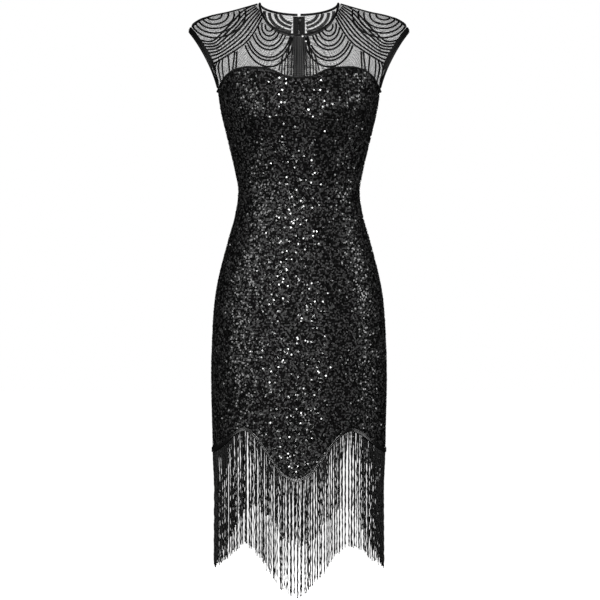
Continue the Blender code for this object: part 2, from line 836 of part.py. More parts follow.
def build_fringe(name, side):
    """Fringe: a heading band on the hem with straight strands from its lower edge."""
    divisions = 2 * STRANDS_A_SIDE + 1
    limit = side_limit(0.0)
    shares = np.linspace(-limit, limit, divisions + 1)
    hems = np.array([hem_at(side, s) for s in shares]) - CHEST_Z
    h_grid = np.stack([hems + HEADING_HEIGHT, hems])
    s_grid = np.stack([shares, shares])
    outer = shifted(side, s_grid, h_grid, np.full(s_grid.shape, GAP + HEADING_THICKNESS))
    inner = shifted(side, s_grid, h_grid, np.full(s_grid.shape, GAP))
    bm, bottom = grid_wall(outer, inner)
    for index, face in enumerate(bottom):
        if index % 2 == 0:
            continue
        centre = face.calc_center_median()
        result = bmesh.ops.extrude_discrete_faces(bm, faces=[face])
        tip = result["faces"][0]
        middle = tip.calc_center_median()
        sway = STRAND_SWAY * math.sin(index * 1.7)
        wave = 0.006 * math.sin(index * 0.9)
        for vert in tip.verts:
            spread = (vert.co - middle) * STRAND_TIP
            vert.co = middle + spread + Vector((sway, 0.0, 0.0))
            vert.co.x *= STRAND_GATHER
            vert.co.z = centre.z - FRINGE_DROP + wave
    return add_mesh(name, bm, fringe_material())


def zip_levels():
    """Levels down the zip, from under the neck binding to its end."""
    top = find(lambda h: distance_to(NECK_LINE, surface(BACK, 0.005, h)) >= BINDING_CLEAR,
               0.09, RIB_SPAN)
    seam = seam_height(BACK, 0.0)
    upper = np.linspace(top, seam, 9)[:-1]
    lower = np.linspace(seam - GAP / 2, ZIP_BOTTOM_Z - CHEST_Z, ROWS_ABOVE + 1)
    return np.concatenate([upper, lower])


def build_zip_tapes():
    """Two tapes inside the centre back opening."""
    levels = zip_levels()
    outer = -(CLOTH + 2 * GAP)
    for hand, name in ((RIGHT, "zip_tape_right"), (LEFT, "zip_tape_left")):
        s_grid = np.array([[s_at_x(BACK, x, h) for x in (0.0008, TAPE_HALF)] for h in levels])
        h_grid = np.repeat(levels[:, None], 2, axis=1)
        wall_piece(name, BACK, hand * s_grid, h_grid, outer, outer - TAPE_THICKNESS, tape_material())


def slider_frame():
    """Place of the slider: origin on the outer face, with its outward and upward directions."""
    z = -NECK_DROP[BACK] - SLIDER_BELOW_NECK
    h = find(lambda h: surface(BACK, 0.0, h)[2] < z, 0.09, RIB_SPAN)
    origin = Vector(surface(BACK, 0.0, h))
    out = Vector(outward(BACK, np.array(0.0), np.array(h)))
    out.x = 0.0
    out.normalize()
    up = Vector((1, 0, 0)).cross(out) * -1
    if up.z < 0:
        up = -up
    return origin, out, up, h


def build_zip_chain():
    """Closed rows of teeth as one plain strip between the backs."""
    _, _, _, slider_h = slider_frame()
    levels = [h for h in zip_levels() if h < slider_h - 0.004]
    levels = np.array([slider_h + 0.0005] + levels)
    s_edge = np.array([s_at_x(BACK, CHAIN_HALF, h) for h in levels])
    s_grid = np.stack([-s_edge, s_edge], 1)
    h_grid = np.repeat(levels[:, None], 2, axis=1)
    wall_piece("zip_chain", BACK, s_grid, h_grid, 0.0, -CLOTH, tape_material())


def add_box(bm, low, high):
    """Box between two corners."""
    size = Vector(high) - Vector(low)
    centre = (Vector(high) + Vector(low)) / 2
    matrix = Matrix.Translation(centre) @ Matrix.Diagonal((*size, 1.0))
    bmesh.ops.create_cube(bm, size=1.0, matrix=matrix)


def local_object(name, bm, origin, out, up, material):
    """Piece drawn as across, out and up, set down in its place."""
    across = out.cross(up)
    matrix = Matrix((across, out, up)).transposed().to_4x4()
    bmesh.ops.recalc_face_normals(bm, faces=bm.faces[:])
    mesh = bpy.data.meshes.new(name)
    bm.to_mesh(mesh)
    bm.free()
    mesh.materials.append(material)
    piece = bpy.data.objects.new(name, mesh)
    piece.matrix_world = Matrix.Translation(origin) @ matrix
    return piece


def prism(profile, half_width):
    """Profile in the out and up plane, extruded across."""
    bm = bmesh.new()
    lower = [bm.verts.new((-half_width, y, z)) for y, z in profile]
    face = bm.faces.new(lower)
    result = bmesh.ops.extrude_face_region(bm, geom=[face])
    moved = [v for v in result["geom"] if isinstance(v, bmesh.types.BMVert)]
    bmesh.ops.translate(bm, verts=moved, vec=(2 * half_width, 0, 0))
    return bm


def pin_place():
    """Out and up place of the slider's pin against the slider's origin."""
    plate_top = GAP + 0.0011
    return plate_top + GAP + HOOK_OUTER, 0.0


def build_slider():
    """Slider closed at the top: two plates, their bridge, and ears that hold the pull's pin."""
    origin, out, up, _ = slider_frame()
    plate_top = GAP + 0.0011
    inner = -(CLOTH + 2 * GAP) - TAPE_THICKNESS - GAP
    pin_out, pin_up = pin_place()
    boxes = (
        ((-0.0036, GAP, -0.0050), (0.0036, plate_top, 0.0040)),
        ((-0.0036, inner - 0.0010, -0.0050), (0.0036, inner, 0.0040)),
        ((-0.0005, inner - 0.0005, 0.0022), (0.0005, plate_top - 0.0003, 0.0034)),
        ((0.0021, plate_top - 0.0005, -0.0013), (0.0029, pin_out + 0.0011, 0.0013)),
        ((-0.0029, plate_top - 0.0005, -0.0013), (-0.0021, pin_out + 0.0011, 0.0013)),
    )
    base = None
    for low, high in boxes:
        bm = bmesh.new()
        add_box(bm, low, high)
        piece = local_object("zip_slider", bm, origin, out, up, metal_material())
        if base is None:
            base = piece
            GOWN.objects.link(base)
            continue
        join_to(base, piece)
    bm = bmesh.new()
    turn = Matrix.Rotation(math.pi / 2, 4, "Y")
    place = Matrix.Translation((0.0, pin_out, pin_up))
    bmesh.ops.create_cone(bm, cap_ends=True, segments=10, radius1=PIN_RADIUS, radius2=PIN_RADIUS,
                          depth=0.0050, matrix=place @ turn)
    join_to(base, local_object("zip_pin_cutter", bm, origin, out, up, metal_material()))


def join_to(base, piece):
    """Union of a piece with the base, the piece kept as a hidden guide."""
    GUIDES.objects.link(piece)
    piece.hide_render = True
    piece.display_type = "WIRE"
    union = base.modifiers.new("union", "BOOLEAN")
    union.operation = "UNION"
    union.object = piece


def build_pull_tab():
    """Pull tab: a strip curled round the pin at its upper end."""
    origin, out, up, _ = slider_frame()
    pin_out, pin_up = pin_place()
    plate_near = -HOOK_OUTER
    plate_far = plate_near + TAB_THICKNESS
    mouth = math.radians(HOOK_MOUTH)
    meet = math.pi + math.acos(-plate_far / HOOK_INNER)
    chamfer = 0.0003
    profile = [(plate_near + chamfer, -TAB_LENGTH), (plate_near, -TAB_LENGTH + chamfer)]
    for angle in np.linspace(math.pi, mouth, 12):
        profile.append((HOOK_OUTER * math.cos(angle), HOOK_OUTER * math.sin(angle)))
    for angle in np.linspace(mouth, meet, 13):
        profile.append((HOOK_INNER * math.cos(angle), HOOK_INNER * math.sin(angle)))
    profile += [(plate_far, -TAB_LENGTH + chamfer), (plate_far - chamfer, -TAB_LENGTH)]
    bm = prism(profile, TAB_WIDTH / 2)
    pin = origin + out * pin_out + up * pin_up
    piece = local_object("zip_pull_tab", bm, pin, out, up, metal_material())
    GOWN.objects.link(piece)


def new_collection(name):
    """Collection linked to the scene."""
    collection = bpy.data.collections.new(name)
    bpy.context.scene.collection.children.link(collection)
    return collection


clear_scene()
GOWN = new_collection("sequin_evening_gown")
GUIDES = new_collection("guides")

build_front_panel()
build_back_panel(RIGHT)
build_back_panel(LEFT)
build_yoke("yoke_front", FRONT)
build_yoke("yoke_back_right", BACK, RIGHT)
build_yoke("yoke_back_left", BACK, LEFT)
build_bindings()
build_piping()
build_fringe("fringe_front", FRONT)
build_fringe("fringe_back", BACK)
build_zip_tapes()
build_zip_chain()
build_slider()
build_pull_tab()
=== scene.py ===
"""Looks of the sequin cocktail gown: sequins, corded net, bindings, beaded fringe and zip."""
import math

import bmesh
import bpy
import numpy as np
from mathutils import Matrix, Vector


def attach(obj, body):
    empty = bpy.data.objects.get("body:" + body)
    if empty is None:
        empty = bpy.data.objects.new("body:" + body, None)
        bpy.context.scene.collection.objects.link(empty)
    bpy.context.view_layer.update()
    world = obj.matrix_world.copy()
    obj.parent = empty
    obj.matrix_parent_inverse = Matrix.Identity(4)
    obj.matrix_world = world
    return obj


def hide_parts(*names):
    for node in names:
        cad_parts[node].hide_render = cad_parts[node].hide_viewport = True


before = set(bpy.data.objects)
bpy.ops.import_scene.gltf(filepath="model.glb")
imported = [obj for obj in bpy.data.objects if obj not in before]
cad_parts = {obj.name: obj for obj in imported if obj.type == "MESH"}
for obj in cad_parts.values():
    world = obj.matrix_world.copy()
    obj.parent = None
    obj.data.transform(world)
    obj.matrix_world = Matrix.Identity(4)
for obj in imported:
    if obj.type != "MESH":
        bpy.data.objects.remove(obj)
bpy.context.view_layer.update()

FRONT = -1
BACK = 1
GOWN = "gown"
PULL = "zip_pull"
RANDOM = np.random.default_rng(8)

# Camera and picture
CAMERA_DISTANCE = 8.0
METRES_A_PIXEL = 0.0020
PICTURE = 600
CENTRE_PIXEL = (299.0, 3.0)
SENSOR = 0.036
FLOOR_Z = -1.46

# Gap between neighbouring pieces, as in the solids
GAP = 0.0003

# Body of the gown: one row for each level, widths and depths from the middle plane
RING_COLUMNS = ("z", "half_width", "front_depth", "back_depth")
RINGS = (
    (-0.166, 0.163, 0.105, 0.085), (-0.214, 0.156, 0.116, 0.088), (-0.274, 0.142, 0.104, 0.084),
    (-0.334, 0.128, 0.093, 0.080), (-0.374, 0.121, 0.088, 0.080), (-0.424, 0.127, 0.090, 0.088),
    (-0.474, 0.141, 0.098, 0.102), (-0.574, 0.165, 0.104, 0.118), (-0.694, 0.174, 0.106, 0.114),
    (-0.894, 0.172, 0.102, 0.106), (-1.124, 0.169, 0.100, 0.104),
)
ROUNDNESS = 0.9
CHEST_Z = -0.170
CUP_RISE = 0.009
CUP_X = 0.082
CUP_Z = -0.207
CUP_SPREAD = (0.048, 0.055)

# Upper edge: neck curve, then shoulder seam to the tip of the cap
NECK_HALF_WIDTH = 0.078
NECK_DROP = {FRONT: 0.066, BACK: 0.017}
NECK_DEPTH = {FRONT: 0.062, BACK: 0.063}
NECK_SHARE = 0.42
RIB_SPAN = 0.150
SHOULDER_COLUMNS = ("share", "x", "z")
SHOULDER = (
    (0.00, 0.0780, 0.0000), (0.23, 0.1100, -0.0094), (0.44, 0.1400, -0.0176),
    (0.71, 0.1810, -0.0266), (0.86, 0.2030, -0.0348), (0.93, 0.2140, -0.0430),
    (1.00, 0.2222, -0.0575),
)
LEAVING_COLUMNS = ("share", "x", "outward", "z")
LEAVING = (
    (0.00, 0.000, 0.010, -0.030), (0.42, 0.010, 0.046, -0.013), (0.70, 0.000, 0.050, -0.009),
    (1.00, -0.028, 0.070, -0.027),
)
RISING_PULL = 0.050
ARMHOLE_START = 0.78
ARMHOLE_PULL = (0.0005, 0.058, 0.012)

# Seams and hems in front view
EDGE_COLUMNS = ("x", "z")
SEAMS = {
    FRONT: (
        (0.000, -0.1560), (0.030, -0.1510), (0.055, -0.1390), (0.085, -0.1340), (0.115, -0.1345),
        (0.135, -0.1420), (0.148, -0.1540), (0.158, -0.1720), (0.161, -0.1770),
    ),
    BACK: (
        (0.000, -0.1500), (0.060, -0.1440), (0.110, -0.1480), (0.145, -0.1620), (0.158, -0.1740),
        (0.161, -0.1770),
    ),
}
FRONT_HEM = (
    (-0.174, -0.892), (-0.150, -0.877), (-0.128, -0.857), (-0.105, -0.847), (-0.082, -0.865),
    (-0.058, -0.902), (-0.034, -0.934), (-0.010, -0.947), (0.018, -0.938), (0.046, -0.906),
    (0.074, -0.867), (0.100, -0.848), (0.124, -0.857), (0.150, -0.877), (0.174, -0.892),
)
BACK_HEM = (
    (0.000, -0.858), (0.024, -0.850), (0.050, -0.818), (0.072, -0.792), (0.092, -0.780),
    (0.118, -0.800), (0.146, -0.852), (0.174, -0.892),
)
FRINGE_DROP = 0.231
BINDING_RADIUS = 0.0024
BINDING_CLEAR = BINDING_RADIUS + 3 * GAP
PIPING_RADIUS = 0.0012
ZIP_BOTTOM_Z = -0.520
TAPE_HALF = 0.0120


def smooth_row(rows, columns, wanted, where):
    """Read the wanted column of a table at the places in where, along a smooth curve."""
    table = np.array(sorted(rows))
    keys = table[:, 0]
    values = table[:, columns.index(wanted)]
    slope = np.gradient(values, keys)
    where = np.clip(np.asarray(where, dtype=float), keys[0], keys[-1])
    low = np.clip(np.searchsorted(keys, where) - 1, 0, len(keys) - 2)
    span = keys[low + 1] - keys[low]
    t = (where - keys[low]) / span
    start = (1 + 2 * t) * (1 - t) ** 2 * values[low] + t * (1 - t) ** 2 * span * slope[low]
    look = t * t * (3 - 2 * t) * values[low + 1] + t * t * (t - 1) * span * slope[low + 1]
    return start + look


def smooth_step(value):
    """Ease from 0 to 1."""
    value = np.clip(value, 0.0, 1.0)
    return value * value * (3 - 2 * value)


def unit(vectors):
    """Vectors scaled to length one."""
    return vectors / np.linalg.norm(vectors, axis=-1, keepdims=True)


def run_lengths(path):
    """Length along a path up to each of its points."""
    return np.concatenate([[0], np.cumsum(np.linalg.norm(np.diff(path, axis=0), axis=1))])


def read_path(at, keys, path):
    """Points of a path at the given places, its own points lying at keys."""
    return np.stack([np.interp(at, keys, path[:, i]) for i in range(path.shape[1])], 1)


def ring_point(side, s, z):
    """Point of the body at level z, s from -1 at one side seam to 1 at the other."""
    half_width = smooth_row(RINGS, RING_COLUMNS, "half_width", z)
    depth = smooth_row(RINGS, RING_COLUMNS, "front_depth" if side == FRONT else "back_depth", z)
    angle = np.abs(s) * math.pi / 2
    x = np.sign(s) * half_width * np.sin(angle) ** ROUNDNESS
    y = depth * np.abs(np.cos(angle)) ** ROUNDNESS
    if side == FRONT:
        across = (np.abs(x) - CUP_X) / CUP_SPREAD[0]
        along = (z - CUP_Z) / CUP_SPREAD[1]
        y = y + CUP_RISE * np.exp(-across ** 2 - along ** 2)
    return np.stack([x, side * y, z + 0 * x], axis=-1)


def upper_edge(side, s):
    """Point of the neck curve or of the shoulder seam."""
    share = np.abs(s)
    turn = np.clip(share / NECK_SHARE, 0, 1) * math.pi / 2
    out = np.clip((share - NECK_SHARE) / (1 - NECK_SHARE), 0, 1)
    on_neck = share <= NECK_SHARE
    x = np.where(on_neck, NECK_HALF_WIDTH * np.sin(turn),
                 smooth_row(SHOULDER, SHOULDER_COLUMNS, "x", out))
    y = np.where(on_neck, NECK_DEPTH[side] * np.cos(turn), 0.0)
    z = np.where(on_neck, -NECK_DROP[side] * np.cos(turn),
                 smooth_row(SHOULDER, SHOULDER_COLUMNS, "z", out))
    return np.stack([np.sign(s) * x, side * y, z], axis=-1)


def surface(side, s, h):
    """Outer face of the gown: h is the level below the chest line, or the way up a rib above it."""
    s, h = np.broadcast_arrays(np.asarray(s, dtype=float), np.asarray(h, dtype=float))
    low = ring_point(side, s, CHEST_Z + np.minimum(h, 0.0))
    chest = ring_point(side, s, np.full(s.shape, CHEST_Z))
    below = ring_point(side, s, np.full(s.shape, CHEST_Z - 0.004))
    share = np.abs(s)
    mirror = np.sign(s)
    rise = (chest - below) / 0.004 * RISING_PULL
    pull = np.stack([mirror * ARMHOLE_PULL[0], side * ARMHOLE_PULL[1] + 0 * s,
                     ARMHOLE_PULL[2] + 0 * s], axis=-1)
    turn = smooth_step((share - ARMHOLE_START) / (1 - ARMHOLE_START))[..., None]
    first = chest + rise * (1 - turn) + pull * turn
    top = upper_edge(side, s)
    leave = np.stack([mirror * smooth_row(LEAVING, LEAVING_COLUMNS, "x", share),
                      side * smooth_row(LEAVING, LEAVING_COLUMNS, "outward", share),
                      smooth_row(LEAVING, LEAVING_COLUMNS, "z", share)], axis=-1)
    second = top + leave
    t = np.clip(h / RIB_SPAN, 0, 1)[..., None]
    rib = (chest * (1 - t) ** 3 + 3 * first * t * (1 - t) ** 2
           + 3 * second * t * t * (1 - t) + top * t ** 3)
    return np.where((h > 0)[..., None], rib, low)


def slopes(side, s, h):
    """How the outer face moves with s and with h."""
    step = 0.002
    s, h = np.broadcast_arrays(np.asarray(s, dtype=float), np.asarray(h, dtype=float))
    s_low = np.clip(s - step, -1, 1)
    s_high = np.clip(s + step, -1, 1)
    along_s = (surface(side, s_high, h) - surface(side, s_low, h)) / (s_high - s_low)[..., None]
    h_high = np.minimum(h + step, RIB_SPAN)
    rise = surface(side, s, h_high) - surface(side, s, h - step)
    return along_s, rise / (h_high - h + step)[..., None]


def outward(side, s, h):
    """Unit normal of the outer face."""
    return unit(-side * np.cross(*slopes(side, s, h)))


def find_levels(test, low, high, shape):
    """Largest values between low and high for which test holds, for arrays."""
    low = np.broadcast_to(np.asarray(low, dtype=float), shape).copy()
    high = np.broadcast_to(np.asarray(high, dtype=float), shape).copy()
    for _ in range(24):
        middle = (low + high) / 2
        good = test(middle)
        low = np.where(good, middle, low)
        high = np.where(good, high, middle)
    return low


def distance_to(path, points):
    """Shortest distance from each point to a path."""
    points = np.asarray(points)
    best = np.full(points.shape[:-1], 9.0)
    for start, look in zip(path[:-1], path[1:]):
        run = look - start
        share = np.clip(((points - start) @ run) / max(run @ run, 1e-12), 0, 1)
        away = np.linalg.norm(start + share[..., None] * run - points, axis=-1)
        best = np.minimum(best, away)
    return best


def armhole_line():
    """Armhole binding's centre line on the +X side, closed through tip and underarm."""
    levels = np.linspace(0.0, RIB_SPAN, 17)
    halves = []
    for side in (FRONT, BACK):
        run = np.linalg.norm(surface(side, 1.0, levels) - surface(side, 0.99, levels),
                             axis=-1) / 0.01
        halves.append(surface(side, 1.0 - BINDING_RADIUS / run, levels))
    loop = np.vstack([halves[0], halves[1][::-1]])
    for _ in range(2):
        loop = (np.roll(loop, 1, axis=0) + 2 * loop + np.roll(loop, -1, axis=0)) / 4
    return loop


def neck_line():
    """Neck binding's centre line, all round from one centre back end to the other."""
    halves = []
    for side, shares in ((BACK, np.linspace(0.010, NECK_SHARE, 16)),
                         (FRONT, np.linspace(NECK_SHARE, 0, 18))):
        pull = np.linalg.norm(upper_edge(side, shares) - surface(side, shares, RIB_SPAN * 0.98),
                              axis=-1) / 0.02
        halves.append(surface(side, shares, RIB_SPAN * (1 - BINDING_RADIUS / pull)))
    corner = (halves[0][-1:] + halves[1][:1]) / 2
    half = np.vstack([halves[0][:-1], corner, halves[1][1:]])
    return np.vstack([half, half[:-1][::-1] * np.array([-1, 1, 1])])


NECK_LINE = neck_line()
ARMHOLE_LINE = armhole_line()
ARMHOLE_LOOP = np.vstack([ARMHOLE_LINE, ARMHOLE_LINE[:1]])
SHARES = np.linspace(0, 1, 81)


def seam_heights(side):
    """Level of the yoke seam at each of SHARES."""
    def below_seam(h):
        places = surface(side, SHARES, h)
        return places[..., 2] < smooth_row(SEAMS[side], EDGE_COLUMNS, "z", places[..., 0])
    return find_levels(below_seam, -0.03, 0.09, SHARES.shape)


def cloth_tops(side, seam):
    """Upper edge of the sequin cloth at each of SHARES, clear of the armhole binding."""
    def clear(h):
        return distance_to(ARMHOLE_LOOP, surface(side, SHARES, h)) >= BINDING_CLEAR
    level = seam - GAP
    under = find_levels(clear, -0.03, level, SHARES.shape)
    return np.where(clear(level), level, under)


SEAM_LEVELS = {side: seam_heights(side) for side in (FRONT, BACK)}
TOP_LEVELS = {side: cloth_tops(side, SEAM_LEVELS[side]) for side in (FRONT, BACK)}


def seam_at(side, s):
    """Level of the yoke seam on rib s."""
    return np.interp(np.abs(s), SHARES, SEAM_LEVELS[side])


def top_at(side, s):
    """Upper edge of the sequin cloth on rib s."""
    return np.interp(np.abs(s), SHARES, TOP_LEVELS[side])


def hem_at(side, s):
    """Level of the hem on rib s, against the chest line."""
    x = ring_point(side, np.asarray(s, dtype=float), np.full(np.shape(s), -0.88))[..., 0]
    if side == FRONT:
        return smooth_row(FRONT_HEM, EDGE_COLUMNS, "z", x) - CHEST_Z
    return smooth_row(BACK_HEM, EDGE_COLUMNS, "z", np.abs(x)) - CHEST_Z


# Soft creases of the worn cloth: x, z, half length, half width, turn in degrees, height
CREASES = {
    FRONT: (
        (-0.095, -0.300, 0.055, 0.010, 62, -0.0018), (0.088, -0.292, 0.050, 0.011, -58, -0.0016),
        (-0.060, -0.352, 0.045, 0.009, 18, -0.0015), (0.058, -0.366, 0.052, 0.009, -14, -0.0017),
        (-0.030, -0.392, 0.060, 0.010, 6, 0.0013), (0.078, -0.408, 0.040, 0.009, -30, -0.0014),
        (-0.105, -0.455, 0.050, 0.012, 50, -0.0014), (0.110, -0.470, 0.048, 0.012, -54, -0.0012),
        (-0.040, -0.640, 0.090, 0.022, 84, 0.0016), (0.070, -0.720, 0.110, 0.024, 95, 0.0018),
        (-0.115, -0.760, 0.090, 0.018, 88, 0.0015), (0.010, -0.830, 0.070, 0.020, 88, -0.0016),
    ),
    BACK: (
        (-0.070, -0.345, 0.050, 0.010, 22, -0.0018), (0.066, -0.352, 0.055, 0.010, -18, -0.0019),
        (-0.050, -0.392, 0.060, 0.010, 8, -0.0016), (0.054, -0.402, 0.058, 0.011, -10, -0.0015),
        (-0.098, -0.300, 0.045, 0.011, 55, -0.0014), (0.100, -0.296, 0.048, 0.011, -57, -0.0014),
        (-0.080, -0.700, 0.110, 0.022, 86, 0.0016), (0.092, -0.660, 0.100, 0.022, 93, 0.0016),
        (0.030, -0.790, 0.080, 0.018, 88, 0.0013),
    ),
}


def crease_height(side, places):
    """How far the creases move the cloth out at each place."""
    total = np.zeros(places.shape[:-1])
    for x, z, length, width, turn, height in CREASES[side]:
        angle = math.radians(turn)
        away_x = places[..., 0] - x
        away_z = places[..., 2] - z
        along = (away_x * math.cos(angle) + away_z * math.sin(angle)) / length
        across = (-away_x * math.sin(angle) + away_z * math.cos(angle)) / width
        total += height * np.exp(-along ** 2 * 1.6 - across ** 2)
    return total


def raised(side, s, h, distance):
    """Creased face moved out, or in with a negative distance, kept on its side of the seams."""
    points = surface(side, s, h)
    lift = distance + crease_height(side, points)
    points = points + outward(side, s, h) * lift[..., None]
    points[..., 1] = side * np.maximum(side * points[..., 1], GAP / 2)
    return points


def new_mesh(name, verts, faces, material, node=None, smooth=True):
    """Object from arrays of points and of faces with equal numbers of corners."""
    verts = np.asarray(verts, dtype=np.float32).reshape(-1, 3)
    faces = np.asarray(faces, dtype=np.int32)
    corners = faces.shape[1]
    mesh = bpy.data.meshes.new(name)
    mesh.vertices.add(len(verts))
    mesh.vertices.foreach_set("co", verts.ravel())
    mesh.loops.add(faces.size)
    mesh.loops.foreach_set("vertex_index", faces.ravel())
    mesh.polygons.add(len(faces))
    mesh.polygons.foreach_set("loop_start", np.arange(0, faces.size, corners, dtype=np.int32))
    mesh.update(calc_edges=True)
    return place_mesh(mesh, material, node, smooth)


def place_mesh(mesh, material, node=None, smooth=True):
    """Object of a finished mesh, riding on the gown, with the node that it replaces if any."""
    mesh.validate()
    if smooth:
        mesh.shade_smooth()
    mesh.materials.append(material)
    piece = bpy.data.objects.new(mesh.name, mesh)
    bpy.context.scene.collection.objects.link(piece)
    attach(piece, GOWN)
    if node:
        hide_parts(node)
    return piece


def grid_faces(rows, columns, start=0, closed=False):
    """Four-cornered faces of a grid of points, wrapped round its columns where closed."""
    r, c = np.meshgrid(np.arange(rows - 1), np.arange(columns if closed else columns - 1),
                       indexing="ij")
    after = (c + 1) % columns
    faces = np.stack([r * columns + c, r * columns + after,
                      (r + 1) * columns + after, (r + 1) * columns + c], axis=-1)
    return faces.reshape(-1, 4) + start


def shell_mesh(name, outer, inner, material, slot, node):
    """Closed thin cloth between two grids of points."""
    rows, columns = outer.shape[:2]
    count = rows * columns
    outer_faces = grid_faces(rows, columns)
    inner_faces = grid_faces(rows, columns, count)[:, ::-1]
    r = np.arange(rows - 1) * columns
    c = np.arange(columns - 1)
    last = (rows - 1) * columns
    rims = [
        np.stack([c + 1, c, c + count, c + 1 + count], 1),
        np.stack([last + c, last + c + 1, last + c + 1 + count, last + c + count], 1),
        np.stack([r, r + columns, r + columns + count, r + count], 1),
        np.stack([r + columns + columns - 1, r + columns - 1, r + columns - 1 + count,
                  r + columns + columns - 1 + count], 1),
    ]
    faces = np.vstack([outer_faces, inner_faces] + rims)
    verts = np.vstack([outer.reshape(-1, 3), inner.reshape(-1, 3)])
    piece = new_mesh(name, verts, faces, material, node)
    bm = bmesh.new()
    bm.from_mesh(piece.data)
    bmesh.ops.recalc_face_normals(bm, faces=bm.faces[:])
    bm.to_mesh(piece.data)
    bm.free()
    piece.data.set_sharp_from_angle(angle=math.radians(60))
    return piece


# Materials

def new_material(name, rough, specular):
    """Material with its shader."""
    material = bpy.data.materials.new(name)
    material.use_nodes = True
    shader = material.node_tree.nodes["Principled BSDF"]
    shader.inputs["Roughness"].default_value = rough
    shader.inputs["Specular IOR Level"].default_value = specular
    return material, shader


def add_node(material, kind, **inputs):
    """Node of a material with some of its inputs set, spaces written as underscores."""
    node = material.node_tree.nodes.new("ShaderNode" + kind)
    for key, value in inputs.items():
        node.inputs[key.replace("_", " ")].default_value = value
    return node


def link(material, output, target):
    """Link two sockets of a material."""
    material.node_tree.links.new(output, target)


def texture(material, kind, **inputs):
    """Texture node in the metres of the piece."""
    node = add_node(material, "Tex" + kind, **inputs)
    link(material, add_node(material, "TexCoord").outputs["Object"], node.inputs["Vector"])
    return node


def bands(material, direction, **inputs):
    """Value of a wave texture running in one direction."""
    node = texture(material, "Wave", **inputs)
    node.bands_direction = direction
    return node.outputs["Fac"]


def island(material):
    """Value that differs from one loose part of the mesh to the next."""
    return add_node(material, "NewGeometry").outputs["Random Per Island"]


def ramp(material, source, stops, target):
    """Ramp from a source to a shader input, stops as place and grey."""
    node = add_node(material, "ValToRGB")
    for element, (place, grey) in zip(node.color_ramp.elements, stops):
        element.position = place
        element.color = (grey, grey, grey, 1.0)
    link(material, source, node.inputs["Fac"])
    link(material, node.outputs["Color"], target)


def bump(material, shader, height, strength, distance):
    """Bump from a height socket."""
    node = add_node(material, "Bump", Strength=strength, Distance=distance)
    link(material, height, node.inputs["Height"])
    link(material, node.outputs["Normal"], shader.inputs["Normal"])


def varied_material(name, rough, specular, tones, roughs=None):
    """Material of loose parts that differ a little in tone and, where given, in roughness."""
    material, shader = new_material(name, rough, specular)
    source = island(material)
    ramp(material, source, zip((0.0, 1.0), tones), shader.inputs["Base Color"])
    if roughs:
        ramp(material, source, zip((0.0, 1.0), roughs), shader.inputs["Roughness"])
    return material


def knit_material():
    """Black knit under the sequins, with its fine loops."""
    material, shader = new_material("black_knit", 0.85, 0.25)
    loops = bands(material, "X", Scale=420.0, Distortion=1.2, Detail=1.0)
    noise = texture(material, "Noise", Scale=900.0, Detail=3.0).outputs["Fac"]
    ramp(material, noise, ((0.3, 0.0008), (0.7, 0.0030)), shader.inputs["Base Color"])
    bump(material, shader, loops, 0.5, 0.0004)
    return material


# Sequin cloth

CLOTH_LAYERS = (-0.0003, -0.0013)
SEQUIN_RADIUS = 0.00178
SEQUIN_PITCH = 0.00330
SEQUIN_ROW = 0.00276
SEQUIN_LIFT = 0.0005
SEQUIN_STACK = 0.0003
SEQUIN_CLEAR = 0.0012
SEQUIN_SIDES = 7
SHINGLE = 0.10
TILT = 0.17
EDGE_TILT = 0.42
EDGE_SHARE = 0.10
CHAIN_HALF = 0.0026
# Finishes of the sequins and painted shade: material, roughness, specular, range of tones, range of
# roughness
# The near-black first row, with almost no specular, is painted shade standing in for the dark gaps
# and shadows between sequins; the satin and glossy rows are real finishes.
SEQUIN_FINISHES_AND_SHADE = (("dull_sequins", 0.45, 0.03, (0.0004, 0.0015), (0.42, 0.48)),
            ("satin_sequins", 0.48, 0.28, (0.010, 0.032), (0.45, 0.52)),
            ("glossy_sequins", 0.15, 0.65, (0.002, 0.008), (0.10, 0.20)))
FINISH_AND_SHADE_SHARES = (0.41, 0.33, 0.26)


def cloth_grid(side, first, last, columns, rows):
    """Ribs and levels of a panel between two ribs, from its top to its hem."""
    shares = np.linspace(first, last, columns)
    top = top_at(side, shares)
    hem = hem_at(side, shares)
    t = np.linspace(0, 1, rows)[:, None]
    return np.broadcast_to(shares, (rows, columns)), top + (hem - top) * t


def centre_gap(s_grid, h_grid, hand):
    """Move the centre back edge of a panel clear of the zip, and to the seam below it."""
    def narrow(s):
        return np.abs(surface(BACK, s, h_grid[:, 0])[..., 0]) < wanted
    open_part = CHEST_Z + np.minimum(h_grid[:, 0], 0.0) > ZIP_BOTTOM_Z
    wanted = np.where(open_part, CHAIN_HALF, GAP / 2)
    edge = find_levels(narrow, 0.0, 0.2, wanted.shape)
    s_grid = s_grid.copy()
    pull = np.linspace(1, 0, s_grid.shape[1]) ** 4
    s_grid = np.abs(s_grid) + (edge[:, None] - np.abs(s_grid[:, :1])) * pull
    return hand * s_grid


def build_cloth(name, side, hand, material, node):
    """Thin creased cloth of one panel."""
    if side == FRONT:
        s_grid, h_grid = cloth_grid(FRONT, -0.9998, 0.9998, 121, 170)
    else:
        s_grid, h_grid = cloth_grid(BACK, 0.0, 0.9998, 64, 170)
        s_grid = centre_gap(s_grid, h_grid, hand)
    faces = [raised(side, s_grid, h_grid, depth) for depth in CLOTH_LAYERS]
    return shell_mesh(name, *faces, material, "sequin_cloth", node)


